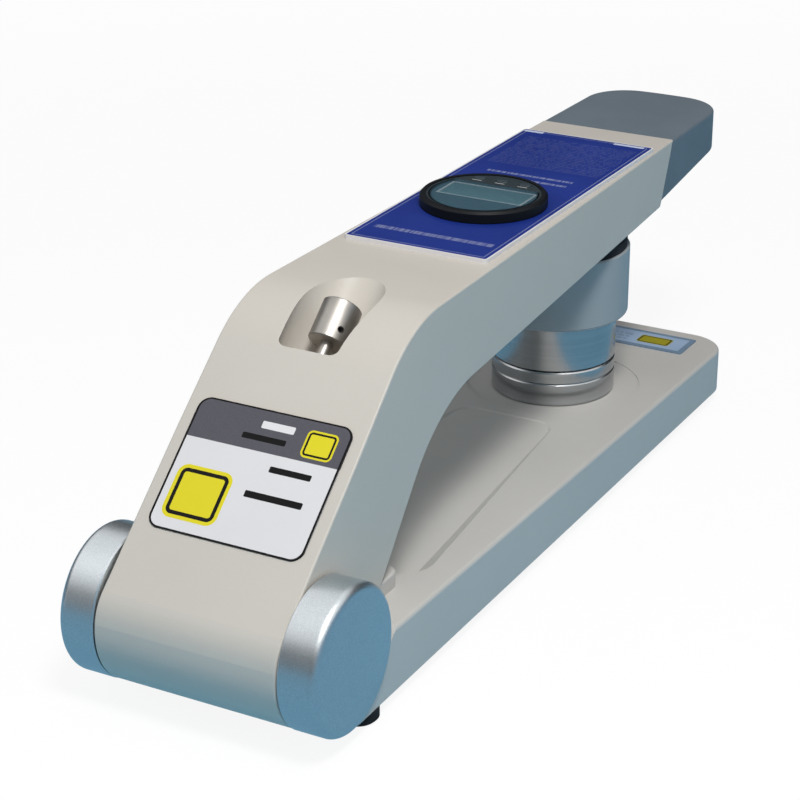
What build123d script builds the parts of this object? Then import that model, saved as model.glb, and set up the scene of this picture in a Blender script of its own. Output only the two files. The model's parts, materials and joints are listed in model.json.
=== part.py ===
from build123d import *
import os
from math import atan2, cos, degrees, hypot, radians, sin, sqrt, tan

os.makedirs("parts", exist_ok=True)

# Bench tester with a hinged measuring arm. Millimetres, +Z up, +Y from the hinge to the hand grip.
# The origin is on the bench, under the middle of the object. Heights and lengths named below are
# measured from the hinge's pivot line, which lies along X.

# ---- driving dimensions -------------------------------------------------------------------------
# hinge
HUB_RISE = 0.2
HUB_T = 15.2
HUB_GAP = 0.5
HUB_PROUD = 1.4
HUB_EDGE_R = 3.2
SHAFT_R = 7.0
SHAFT_IN_HUB = 11.3
SHAFT_BREAK = 0.8
SHAFT_CLEAR = 1.0
BUSH_R = 10.5
BUSH_FLANGE_R = 13.0
BUSH_FLANGE = 1.2
BUSH_LENGTH = 15.0
BUSH_PROUD = 0.1
CAM_R = 18.0
CAM_HALF = 4.0
CAM_SIDE_GAP = 0.8
CAM_RIM_GAP = 1.5
CAM_SLOT_Y0 = -6.0
CAM_SLOT_Y1 = 16.0
NOTCH_FLOOR = 8.0
NOTCH_SIDE = 0.5

# arm
BARREL_R = 27.8
BARREL_HALF = 37.2
ARM_END_HALF = 32.0
ARM_TOP = 96.9
ARM_END_Y = 325.6
SLOPE = 41.1
FACE_DROP = 2.3
CREASE_R = 18.0
SHOULDER_R = 56.0
BELLY_R = 70.0
BELLY_SLOPE = 0.055
BELLY_Y = 139.8
BELLY_Z = 59.4
LEG_Y = 56.4
LEG_Z = 13.9
LEG_SLOPE = 48.9
LEG_FOOT_Y = 48.4
LEG_FOOT_Z = 4.8
LEG_FOOT_R = 20.0
ARM_TOE_R = 2.0
EDGE_R = 0.8

# hand grip and the tongue that carries it
NOSE_TIP_Y = 394.0
NOSE_TIP_HALF = 30.8
NOSE_CORNER_R = 21.0
NOSE_TIP_Z = 79.7
NOSE_HEEL_Y = 314.4
NOSE_HEEL_Z = 71.2
NOSE_BOW = 2.6
NOSE_EDGE_R = 1.4
TONGUE_HALF = 17.0
TONGUE_LOW = 80.0
TONGUE_HIGH = 91.0
TONGUE_END_Y = 352.0
TONGUE_ROOT = 15.0
TONGUE_R = 2.0
TONGUE_END_GAP = 0.5
NOSE_SCREW_X = 9.0
NOSE_SCREW_Y = 338.0
NOSE_SCREW_R = 2.0
NOSE_SCREW_HEAD_R = 3.8
NOSE_SCREW_HEAD = 2.4
NOSE_SCREW_SINK = 3.4
NOSE_SCREW_GRIP = 8.0

# base
BASE_FRONT_Y = 4.0
BASE_END_Y = 361.0
BASE_REAR_TOP = -2.3
BASE_FAR_TOP = -8.0
BASE_SLOPE_Y = 30.0
BASE_CORNER_R = 18.0
BASE_EDGE_R = 1.6
HORN_R = 9.0
HORN_HEADROOM = 20.0
BAY_SIDE_GAP = 0.25
BAY_GAP = 1.2
BAY_LIP_Y = 14.0
BAY_HEADROOM = 30.0
LAND_TOP = 3.5
LAND_ROOT = 5.0
LAND_REAR_Y = 26.0
LAND_FAR_Y = 64.0
LAND_HALF = 36.0
LAND_CORNER_R = 6.0
LAND_EDGE_R = 1.0
CHANNEL_Y0 = 74.0
CHANNEL_Y1 = 228.0
CHANNEL_RIM = 17.5
CHANNEL_FAR_HALF = 22.0
CHANNEL_DEEP = 4.6
CHANNEL_FAR_DEEP = 0.5
CHANNEL_CORNER_R = 9.0
CHANNEL_DRAFT = 55.0
CHANNEL_REACH = 9.0
SEAT_R = 39.0
SEAT_Z = -7.4

# clamps and weight
COLUMN_Y = 273.3
COLUMN_R = 27.4
COLUMN_BREAK = 0.6
APERTURE_R = 17.5
COLLAR_TOP = 2.8
COLLAR_FLOOR = -3.0
COLLAR_SPIGOT_R = 22.0
COLLAR_SPIGOT_Z = -13.0
RING_TOP = 8.4
RING_APERTURE_R = 12.5
RING_SPIGOT = 2.0
CLAMP_GAP = 0.4
HOUSING_R = 32.4
HOUSING_BOTTOM = 29.4
HOUSING_TOP = 60.0
HOUSING_FLOOR = 3.3
HOUSING_EDGE_R = 1.4
NECK_R = 29.4
NECK_TOP = 70.0
SEAL_R = 31.2
SEAL_H = 4.6
MASS_R = 26.0
MASS_BOTTOM = 33.0
MASS_TOP = 54.8
STEM_R = 17.0
STEM_BOTTOM = 11.5
UPPER_SPIGOT_R = 24.0
UPPER_GUIDE_Z = 16.0
PIN_R = 2.45
PIN_LENGTH = 11.5
PIN_ROOT = 4.0
PIN_BREAK = 0.2
POST_R = 3.0
POST_BREAK = 1.0
LIFT = 8.8

# bell crank: two equal arms turn the weight's lift into the spindle's travel
CRANK_L = 17.5
CRANK_HUB_R = 3.6
CRANK_TIP_R = 2.2
CRANK_ARM_HALF = 1.5
CRANK_HALF = 3.0
CRANK_Z = 69.0
CRANK_PIN_R = 1.5
CRANK_PIN_PROUD = 0.6
CONTACT_GAP = 0.35
CHEEK_INNER = 4.4
CHEEK_OUTER = 8.6
CHEEK_BELOW = 3.8
CHEEK_ABOVE = 4.0
CHEEK_AHEAD = 4.2
CHEEK_BEHIND = 3.0
CHEEK_TOP = 15.0
CRANK_BAY_HALF = 12.5
CRANK_BAY_FLOOR = 73.5
CRANK_BAY_TOP = 92.0
CRANK_BAY_Y0 = 220.0
CRANK_BAY_Y1 = 290.0
BLOCK_Y0 = 229.5
BLOCK_Y1 = 239.5
BLOCK_LOW = 74.5
BLOCK_SLIT = 1.0
BRACKET_DROP_Y = 250.4
BRACKET_STEP = 1.0
BRACKET_GAP = 1.5

# indicator
DIAL_Y = 200.7
DIAL_TOP = 103.4
BEZEL_R = 26.2
BEZEL_H = 4.5
BEZEL_WALL = 2.6
BEZEL_BREAK = 0.9
FACE_SINK = 0.4
CASE_R = 24.4
CASE_BACK = 79.5
CASE_HALF_GAP = 0.7
BACK_T = 1.5
STEM_AXIS_Z = 86.5
INDICATOR_STEM_R = 4.0
INDICATOR_STEM_END = 240.0
SPINDLE_R = 1.6
SPINDLE_Y0 = 214.0
SPINDLE_BORE_Y = 202.0
CONTACT_R = 2.2
CONTACT_LENGTH = 8.0
CONTACT_BREAK = 1.0
WINDOW_R = 22.6
WINDOW_T = 0.7
WINDOW_Y = 11.5
DISPLAY_HALF = 19.3
DISPLAY_Y0 = -5.6
DISPLAY_Y1 = 10.6
DISPLAY_T = 1.2
BUTTON_X = 10.4
BUTTON_Y = 17.3
BUTTON_HALF = 2.6
BUTTON_DEEP = 1.7
BUTTON_PROUD = 0.35
BUTTON_TRAVEL = 0.5
BUTTON_SINK = 3.0
BUTTON_GAP = 0.2
BUTTON_BREAK = 0.25
COVER_R = 28.4
COVER_T = 2.0

# plates
PANEL_HALF = 31.35
PANEL_Y0 = 140.6
PANEL_Y1 = 305.0
PANEL_T = 1.66
PANEL_CORNER_R = 1.5
SLOPE_PLATE_HALF = 32.0
SLOPE_PLATE_S0 = 21.0
SLOPE_PLATE_S1 = 73.9
SLOPE_PLATE_T = 0.5
SLOPE_PLATE_CORNER_R = 5.0
END_PLATE_HALF = 38.0
END_PLATE_Y0 = 332.0
END_PLATE_Y1 = 352.0
END_PLATE_T = 0.6
END_PLATE_CORNER_R = 1.0

# catch: a sprung rod lying parallel to the sloping face
ROD_DEPTH = 12.0
ROD_R = 2.5
ROD_END_GAP = 0.2
ROD_TIP_GAP = 0.5
ROD_COLLAR = 3.0
ROD_COLLAR_R = 4.6
ROD_BUSH_R = 6.0
ROD_BUSH_LENGTH = 8.0
KNOB_R = 7.6
KNOB_S0 = 109.2
KNOB_S1 = 125.2
KNOB_CAP = 2.0
KNOB_BREAK = 0.35
KNOB_HOLE_ANGLE = 50.0
KNOB_HOLE_S = 113.7
KNOB_HOLE_R = 1.3
KNOB_SCREW_L = 2.6
TROUGH_R = 14.5
TROUGH_DEPTH = 7.5
TROUGH_S = 99.6
TROUGH_END_R = 3.0
SPRING_CHAMBER_R = 5.3
SPRING_S0 = 63.0
SPRING_WIRE = 0.9
SPRING_COIL_R = 4.3
SPRING_PITCH = 4.2
OPEN_ANGLE = 62.0

# feet and screws
FOOT_H = 5.2
FOOT_R = 8.0
FOOT_BREAK = 1.0
REAR_FOOT_INSET = 7.5
REAR_FOOT_Y = 16.5
FAR_FOOT_INSET = 13.5
FAR_FOOT_Y = 338.0
SCREW_R = 2.5
SCREW_HEAD_R = 4.4
SCREW_HEAD = 3.0
SCREW_TIP = 0.6
FOOT_SCREW_SINK = 3.6
FOOT_SCREW_HEAD = 2.6
FOOT_SCREW_L = 14.0
CLAMP_SCREWS = 3
CLAMP_SCREW_CIRCLE_R = 16.0
CLAMP_SCREW_SINK = 6.0
CLAMP_SCREW_GRIP = 6.0

# clearances, broken edges, and how far cutting shapes run past a face
TIGHT = 0.01
RUNNING = 0.05
SEATED = 0.05
FREE = 0.4
BREAK = 0.5
FINE_BREAK = 0.3
OVER = 1.0

# ---- derived values -----------------------------------------------------------------------------
hub_r = BARREL_R + HUB_RISE
base_bottom = -BARREL_R
pivot_y = (hub_r - NOSE_TIP_Y) / 2
pivot_z = FOOT_H - base_bottom
hub_inner = BARREL_HALF + HUB_GAP
hub_outer = hub_inner + HUB_T
base_half = hub_outer - HUB_PROUD
shaft_end = hub_inner + SHAFT_IN_HUB
cs = cos(radians(SLOPE))
sn = sin(radians(SLOPE))
face_n = BARREL_R - FACE_DROP
rod_n = face_n - ROD_DEPTH
rod_tip_s = sqrt(CAM_R**2 - (rod_n - ROD_R) ** 2) + ROD_TIP_GAP
spring_s1 = TROUGH_S - ROD_BUSH_LENGTH
dial_bottom = DIAL_TOP - BEZEL_H
face_z = DIAL_TOP - FACE_SINK
window_z = face_z - WINDOW_T
crank_y = COLUMN_Y - CRANK_L
crank_rest = degrees(LIFT / CRANK_L) / 2
post_top = CRANK_Z - CRANK_L * sin(radians(crank_rest)) - CRANK_TIP_R - CONTACT_GAP
contact_tip_y = crank_y + CRANK_L * sin(radians(crank_rest)) - CRANK_TIP_R - CONTACT_GAP
clamp_head_z = base_bottom + CLAMP_SCREW_SINK
foot_hole = FOOT_SCREW_L - FOOT_H + FOOT_SCREW_SINK + SCREW_TIP
nose_rise = (NOSE_TIP_Z - NOSE_HEEL_Z) / (NOSE_TIP_Y - NOSE_HEEL_Y)
nose_screw_z = NOSE_HEEL_Z + nose_rise * (NOSE_SCREW_Y - NOSE_HEEL_Y)
nose_head_z = nose_screw_z + NOSE_SCREW_SINK
button_xs = (-BUTTON_X, 0, BUTTON_X)
nose_screw_xs = (-NOSE_SCREW_X, NOSE_SCREW_X)
foot_spots = [(sx * (base_half - REAR_FOOT_INSET), REAR_FOOT_Y) for sx in (-1, 1)]
foot_spots += [(sx * (base_half - FAR_FOOT_INSET), FAR_FOOT_Y) for sx in (-1, 1)]
STAND_UP = (Align.CENTER, Align.CENTER, Align.MIN)
HANG_DOWN = (Align.CENTER, Align.CENTER, Align.MAX)


def side(x=0):
    """Side-view plane through the pivot: local x is +Y, local y is +Z."""
    return Plane(origin=(x, pivot_y, pivot_z), x_dir=(0, 1, 0), z_dir=(1, 0, 0))


def level(z, y=0):
    """Horizontal plane at a height above the pivot."""
    return Plane(origin=(0, pivot_y + y, pivot_z + z), x_dir=(1, 0, 0), z_dir=(0, 0, 1))


def under(x, y, z):
    """Drilling plane facing down, for holes that are made from below."""
    return Plane(origin=(x, pivot_y + y, pivot_z + z), x_dir=(1, 0, 0), z_dir=(0, 0, -1))


def facing(y, z):
    """Plane across the arm that faces the grip: local x is -X, local y is +Z."""
    return Plane(origin=(0, pivot_y + y, pivot_z + z), x_dir=(-1, 0, 0), z_dir=(0, 1, 0))


def rod_plane(s, n=rod_n):
    """Plane square to the sloping face's fall line, s up the slope and n out from the pivot."""
    y = pivot_y - sn * n + cs * s
    z = pivot_z + cs * n + sn * s
    return Plane(origin=(0, y, z), x_dir=(1, 0, 0), z_dir=(0, cs, sn))


def face_plane(s):
    """Plane lying on the sloping face: local y runs up the slope."""
    origin = rod_plane(s, face_n).origin
    return Plane(origin=origin, x_dir=(1, 0, 0), z_dir=(0, -sn, cs))


def corner(sketch, y, z):
    """The sketch's own corner nearest to a point."""
    return sketch.vertices().sort_by_distance((y, z, 0))[0]


def belly_z(y):
    """Height of the arm's underside."""
    return BELLY_Z + BELLY_SLOPE * (y - BELLY_Y)


def base_top(y):
    """Height of the base's sloping top."""
    fall = (BASE_FAR_TOP - BASE_REAR_TOP) / (BASE_END_Y - BASE_SLOPE_Y)
    return BASE_REAR_TOP + fall * (y - BASE_SLOPE_Y)


def arm_half(y):
    """Half the arm's width: full at the hinge, narrower towards the grip."""
    taper = (BARREL_HALF - ARM_END_HALF) / (ARM_END_Y - hub_r)
    return BARREL_HALF - taper * (y - hub_r)


def tangent_point(y, z, r):
    """Where a line from (y, z) touches the underside of a circle of radius r about the pivot."""
    reach = hypot(y, z)
    heading = atan2(z, y) - atan2(sqrt(reach * reach - r * r), r)
    return (r * cos(heading), r * sin(heading))


def tilted(y, z, slope, rise=0):
    """Plane rising along +Y at a slope, through (y, z) or moved off it square to itself."""
    tilt = atan2(slope, 1)
    origin = (0, pivot_y + y - rise * sin(tilt), pivot_z + z + rise * cos(tilt))
    return Plane(origin=origin, x_dir=(1, 0, 0), z_dir=(0, -sin(tilt), cos(tilt)))


def knob_hole_plane(r):
    """Plane square to the knob's radial hole, at a distance from the rod's axis."""
    c = cos(radians(KNOB_HOLE_ANGLE))
    out = Vector(sin(radians(KNOB_HOLE_ANGLE)), -sn * c, cs * c)
    return Plane(origin=rod_plane(KNOB_HOLE_S).origin + out * r, z_dir=out)


def is_long_edge(edge):
    """The arm's outer edges along its sides, without the end under the grip and the barrel's crease."""
    box = edge.bounding_box()
    spread = BARREL_HALF - ARM_END_HALF + OVER
    at_side = abs(edge.center().X) > BARREL_HALF - spread - OVER and box.size.X < spread
    at_end = box.max.Y > pivot_y + ARM_END_Y - OVER and box.min.Y > pivot_y + arm_toe_y - ARM_TOE_R - OVER
    upright = box.size.Y < TIGHT
    return at_side and not at_end and not upright


def is_grip_rim(edge):
    """The grip's top and bottom rims, without the edges of its mating face."""
    box = edge.bounding_box()
    return box.size.Z < NOSE_TIP_Z - NOSE_HEEL_Z + OVER and box.max.Y > pivot_y + ARM_END_Y + OVER


# ---- base ---------------------------------------------------------------------------------------
saddle_r = hub_r + SEATED
horn_top = base_top(hub_r)
horn_y = sqrt((saddle_r + HORN_R) ** 2 - (horn_top - HORN_R) ** 2)
horn_touch = (horn_y * saddle_r / (saddle_r + HORN_R), (horn_top - HORN_R) * saddle_r / (saddle_r + HORN_R))
bay_r = BARREL_R + BAY_GAP
bay_half = BARREL_HALF + BAY_SIDE_GAP
channel_z0 = base_top(CHANNEL_Y0) - CHANNEL_DEEP
channel_z1 = base_top(CHANNEL_Y1) - CHANNEL_FAR_DEEP
channel_slope = (channel_z1 - channel_z0) / (CHANNEL_Y1 - CHANNEL_Y0)
channel_half = base_half - CHANNEL_RIM

with BuildPart() as base:
    with BuildSketch(side()):
        with BuildLine():
            Polyline(
                (BASE_FRONT_Y, base_bottom),
                (BASE_END_Y, base_bottom),
                (BASE_END_Y, BASE_FAR_TOP),
                (BASE_FRONT_Y, base_top(BASE_FRONT_Y)),
                close=True,
            )
        make_face()
    extrude(amount=base_half, both=True)
    far_corners = base.edges().filter_by(Axis.Z).group_by(Axis.Y)[-1]
    fillet(far_corners, BASE_CORNER_R)
    top_rim = base.faces().sort_by(Axis.Z)[-1].edges().sort_by(Axis.Y)[1:]
    fillet(top_rim, BASE_EDGE_R)
    # shallow channel that narrows and runs out towards the clamps
    with BuildSketch(tilted(CHANNEL_Y0, channel_z0, channel_slope)) as channel_floor:
        with BuildLine():
            Polyline(
                (-channel_half, 0),
                (channel_half, 0),
                (CHANNEL_FAR_HALF, CHANNEL_Y1 - CHANNEL_Y0),
                (-CHANNEL_FAR_HALF, CHANNEL_Y1 - CHANNEL_Y0),
                close=True,
            )
        make_face()
        fillet(channel_floor.vertices(), CHANNEL_CORNER_R)
    extrude(amount=CHANNEL_REACH, taper=-CHANNEL_DRAFT, mode=Mode.SUBTRACT)
    # round seat for the lower clamp
    with BuildSketch(level(SEAT_Z, COLUMN_Y)):
        Circle(SEAT_R)
    extrude(amount=-SEAT_Z, mode=Mode.SUBTRACT)
    # land behind the barrel
    with BuildSketch(level(base_bottom + LAND_ROOT)) as land:
        with Locations((0, (LAND_REAR_Y + LAND_FAR_Y) / 2)):
            Rectangle(2 * LAND_HALF, LAND_FAR_Y - LAND_REAR_Y)
        fillet(land.vertices().group_by(Axis.Y)[-1], LAND_CORNER_R)
    extrude(amount=LAND_TOP - base_bottom - LAND_ROOT)
    land_rim = base.faces().sort_by(Axis.Z)[-1].edges().sort_by(Axis.Y)[1:]
    fillet(land_rim, LAND_EDGE_R)
    # saddles that the hubs stand in
    for sx in (-1, 1):
        with BuildSketch(side(sx * bay_half)):
            with BuildLine():
                Polyline(
                    (0, 0),
                    horn_touch,
                    (horn_y, horn_top),
                    (horn_y, horn_top + HORN_HEADROOM),
                    (0, horn_top + HORN_HEADROOM),
                    close=True,
                )
            make_face()
            with Locations((horn_y, horn_top - HORN_R)):
                Circle(HORN_R, mode=Mode.SUBTRACT)
            Circle(saddle_r)
        extrude(amount=sx * base_half, mode=Mode.SUBTRACT)
    # open bay for the barrel and the foot of the leg
    with BuildSketch(side()):
        with BuildLine():
            Polyline(
                tangent_point(LEG_FOOT_Y + BAY_GAP, LEG_FOOT_Z, bay_r),
                (LEG_FOOT_Y + BAY_GAP, LEG_FOOT_Z),
                (LEG_FOOT_Y + BAY_GAP, LEG_FOOT_Z + BAY_HEADROOM),
                (0, LEG_FOOT_Z + BAY_HEADROOM),
                (0, 0),
                close=True,
            )
        make_face()
        Circle(bay_r)
        with Locations((BAY_LIP_Y / 2, base_bottom / 2)):
            Rectangle(BAY_LIP_Y, 2 * OVER - base_bottom)
    extrude(amount=bay_half, both=True, mode=Mode.SUBTRACT)
    # socket for the lower clamp's spigot
    with BuildSketch(level(COLLAR_SPIGOT_Z, COLUMN_Y)):
        Circle(COLLAR_SPIGOT_R + SEATED)
    extrude(amount=SEAT_Z - COLLAR_SPIGOT_Z + OVER, mode=Mode.SUBTRACT)
    with Locations(under(0, COLUMN_Y, base_bottom)):
        with PolarLocations(CLAMP_SCREW_CIRCLE_R, CLAMP_SCREWS, start_angle=90):
            CounterBoreHole(
                SCREW_R + RUNNING,
                SCREW_HEAD_R + FREE,
                CLAMP_SCREW_SINK,
                depth=COLLAR_SPIGOT_Z - base_bottom + OVER,
            )
    with Locations([under(x, y, base_bottom) for x, y in foot_spots]):
        Hole(SCREW_R + RUNNING, depth=foot_hole)
base.part.label = "base"
export_step(base.part, "parts/base.step")

# ---- hubs and pivot -----------------------------------------------------------------------------
for hub_name, sx in (("hub_left", -1), ("hub_right", 1)):
    with BuildPart() as hub:
        with BuildSketch(side(sx * hub_inner)):
            Circle(hub_r)
        extrude(amount=sx * HUB_T)
        faces = hub.faces().filter_by(Axis.X).sort_by(Axis.X)
        outer = faces[-1] if sx > 0 else faces[0]
        inner = faces[0] if sx > 0 else faces[-1]
        fillet(outer.edges(), HUB_EDGE_R)
        chamfer(inner.edges(), BREAK)
        with BuildSketch(side(sx * hub_inner)):
            Circle(SHAFT_R + TIGHT)
        extrude(amount=sx * (SHAFT_IN_HUB + ROD_END_GAP), mode=Mode.SUBTRACT)
        with Locations(under(sx * (base_half - REAR_FOOT_INSET), REAR_FOOT_Y, base_bottom)):
            Hole(SCREW_R + RUNNING, depth=foot_hole)
    hub.part.label = hub_name
    export_step(hub.part, f"parts/{hub_name}.step")

with BuildPart() as pivot_shaft:
    with BuildSketch(side()):
        Circle(SHAFT_R)
    extrude(amount=shaft_end, both=True)
    chamfer(pivot_shaft.edges().filter_by(GeomType.CIRCLE), SHAFT_BREAK)
pivot_shaft.part.label = "pivot_shaft"
export_step(pivot_shaft.part, "parts/pivot_shaft.step")

with BuildPart() as detent_cam:
    with BuildSketch(side()):
        Circle(CAM_R)
        # notch that takes the rod's tip when the arm stands open
        with Locations(Location((0, 0), SLOPE + OPEN_ANGLE)):
            with Locations(((NOTCH_FLOOR + CAM_R + OVER) / 2, rod_n)):
                Rectangle(CAM_R + OVER - NOTCH_FLOOR, 2 * (ROD_R + NOTCH_SIDE), mode=Mode.SUBTRACT)
        Circle(SHAFT_R + TIGHT, mode=Mode.SUBTRACT)
    extrude(amount=CAM_HALF, both=True)
    bore_rims = detent_cam.faces().filter_by(Axis.X).edges().filter_by(GeomType.CIRCLE)
    chamfer(bore_rims.group_by(SortBy.RADIUS)[0], FINE_BREAK)
detent_cam.part.label = "detent_cam"
export_step(detent_cam.part, "parts/detent_cam.step")

# ---- arm ----------------------------------------------------------------------------------------
shoulder_y = (ARM_TOP * cs - face_n) / sn
crease_s = -sqrt(BARREL_R**2 - face_n**2)
leg_t = tan(radians(LEG_SLOPE))
belly_corner_y = (LEG_Z - leg_t * LEG_Y - BELLY_Z + BELLY_SLOPE * BELLY_Y) / (BELLY_SLOPE - leg_t)
heel_lean = (ARM_END_Y - NOSE_HEEL_Y) / (ARM_TOP - NOSE_HEEL_Z)
arm_toe_z = belly_z(NOSE_HEEL_Y - OVER)
arm_toe_y = ARM_END_Y - heel_lean * (ARM_TOP - arm_toe_z)

with BuildPart() as trough:
    with BuildSketch(rod_plane(TROUGH_S, face_n - TROUGH_DEPTH)):
        Circle(TROUGH_R)
    extrude(amount=SHOULDER_R)
    fillet(trough.edges().filter_by(GeomType.CIRCLE).sort_by(Axis.Z)[0], TROUGH_END_R)

with BuildPart() as arm:
    with BuildSketch(side()) as arm_side:
        with BuildLine():
            Polyline(
                (-face_n * sn, face_n * cs),
                (shoulder_y, ARM_TOP),
                (ARM_END_Y, ARM_TOP),
                (arm_toe_y, arm_toe_z),
                (belly_corner_y, belly_z(belly_corner_y)),
                (LEG_FOOT_Y, LEG_FOOT_Z),
                tangent_point(LEG_FOOT_Y, LEG_FOOT_Z, BARREL_R),
                (0, 0),
                close=True,
            )
        make_face()
        Circle(BARREL_R)
        # the sloping face runs on over the barrel and is blended into it
        with Locations(Location((0, 0), SLOPE)):
            with Locations((0, face_n + BARREL_R / 2)):
                Rectangle(2 * BARREL_R, BARREL_R, mode=Mode.SUBTRACT)
        fillet(corner(arm_side, crease_s * cs - face_n * sn, crease_s * sn + face_n * cs), CREASE_R)
        fillet(corner(arm_side, shoulder_y, ARM_TOP), SHOULDER_R)
        fillet(corner(arm_side, belly_corner_y, belly_z(belly_corner_y)), BELLY_R)
        fillet(corner(arm_side, LEG_FOOT_Y, LEG_FOOT_Z), LEG_FOOT_R)
        fillet(corner(arm_side, arm_toe_y, arm_toe_z), ARM_TOE_R)
    extrude(amount=2 * BARREL_HALF, both=True)
    with BuildSketch(level(-BARREL_R - OVER)):
        with BuildLine():
            Polyline(
                (-BARREL_HALF, -2 * BARREL_R),
                (BARREL_HALF, -2 * BARREL_R),
                (BARREL_HALF, hub_r),
                (arm_half(ARM_END_Y + OVER), ARM_END_Y + OVER),
                (-arm_half(ARM_END_Y + OVER), ARM_END_Y + OVER),
                (-BARREL_HALF, hub_r),
                close=True,
            )
        make_face()
    extrude(amount=2 * ARM_TOP, mode=Mode.INTERSECT)
    long_edges = arm.edges().filter_by(lambda e: is_long_edge(e))
    fillet(long_edges, EDGE_R)
    add(trough.part, mode=Mode.SUBTRACT)
    # guide bore, spring chamber and bush seat along the catch rod
    for s_from, s_to, r in (
        (CAM_R / 2, SPRING_S0, ROD_R + RUNNING),
        (SPRING_S0 - ROD_COLLAR - FREE, spring_s1, SPRING_CHAMBER_R),
        (spring_s1, TROUGH_S + OVER, ROD_BUSH_R + SEATED),
    ):
        with BuildSketch(rod_plane(s_from)):
            Circle(r)
        extrude(amount=s_to - s_from, mode=Mode.SUBTRACT)
    # hinge bore with its bush seats, and the slot for the detent cam
    for reach, r in (
        (BARREL_HALF + OVER, SHAFT_R + SHAFT_CLEAR),
        (CAM_HALF + CAM_SIDE_GAP, CAM_R + CAM_RIM_GAP),
    ):
        with BuildSketch(side()):
            Circle(r)
        extrude(amount=reach, both=True, mode=Mode.SUBTRACT)
    with BuildSketch(side()):
        with Locations(((CAM_SLOT_Y0 + CAM_SLOT_Y1) / 2, -(BARREL_R + OVER) / 2)):
            Rectangle(CAM_SLOT_Y1 - CAM_SLOT_Y0, BARREL_R + OVER)
    extrude(amount=CAM_HALF + CAM_SIDE_GAP, both=True, mode=Mode.SUBTRACT)
    for sx in (-1, 1):
        for depth, r in ((BUSH_LENGTH, BUSH_R), (BUSH_FLANGE, BUSH_FLANGE_R)):
            with BuildSketch(side(sx * (BARREL_HALF - depth))):
                Circle(r + SEATED)
            extrude(amount=sx * (depth + OVER), mode=Mode.SUBTRACT)
    # pocket for the indicator, open at the top, with a round cover let into the underside
    with BuildSketch(level(0, DIAL_Y)):
        Circle(CASE_R + CASE_HALF_GAP)
    extrude(amount=ARM_TOP + OVER, mode=Mode.SUBTRACT)
    with BuildSketch(tilted(DIAL_Y, belly_z(DIAL_Y), BELLY_SLOPE, -OVER)):
        Circle(COVER_R + SEATED)
    extrude(amount=COVER_T + OVER, mode=Mode.SUBTRACT)
    # bay for the bell crank and its bracket
    with BuildSketch(level(CRANK_BAY_FLOOR)):
        with Locations((0, (CRANK_BAY_Y0 + CRANK_BAY_Y1) / 2)):
            Rectangle(2 * CRANK_BAY_HALF, CRANK_BAY_Y1 - CRANK_BAY_Y0)
    extrude(amount=CRANK_BAY_TOP - CRANK_BAY_FLOOR, mode=Mode.SUBTRACT)
    with BuildSketch(level(NECK_TOP - OVER)):
        with Locations((0, (BRACKET_DROP_Y - BRACKET_GAP + CRANK_BAY_Y1) / 2)):
            Rectangle(2 * CRANK_BAY_HALF, CRANK_BAY_Y1 - BRACKET_DROP_Y + BRACKET_GAP)
    extrude(amount=CRANK_BAY_FLOOR - NECK_TOP + 2 * OVER, mode=Mode.SUBTRACT)
    # round seat for the clamp housing's neck
    with BuildSketch(level(HOUSING_TOP, COLUMN_Y)):
        Circle(NECK_R + SEATED)
    extrude(amount=NECK_TOP - HOUSING_TOP, mode=Mode.SUBTRACT)
    # tongue that carries the hand grip
    with BuildSketch(facing(ARM_END_Y - TONGUE_ROOT, (TONGUE_LOW + TONGUE_HIGH) / 2)):
        RectangleRounded(2 * TONGUE_HALF, TONGUE_HIGH - TONGUE_LOW, TONGUE_R)
    extrude(amount=TONGUE_END_Y - ARM_END_Y + TONGUE_ROOT)
    with Locations([under(x, NOSE_SCREW_Y, TONGUE_LOW) for x in nose_screw_xs]):
        Hole(NOSE_SCREW_R + RUNNING, depth=NOSE_SCREW_GRIP + OVER)
arm.part.label = "arm"
export_step(arm.part, "parts/arm.step")

with BuildPart() as pivot_bushes:
    for sx in (-1, 1):
        for depth, r in ((BUSH_LENGTH, BUSH_R), (BUSH_FLANGE, BUSH_FLANGE_R)):
            with BuildSketch(side(sx * (BARREL_HALF - depth))):
                Circle(r)
                Circle(SHAFT_R + RUNNING, mode=Mode.SUBTRACT)
            extrude(amount=sx * (depth + BUSH_PROUD))
pivot_bushes.part.label = "pivot_bushes"
export_step(pivot_bushes.part, "parts/pivot_bushes.step")

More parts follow.
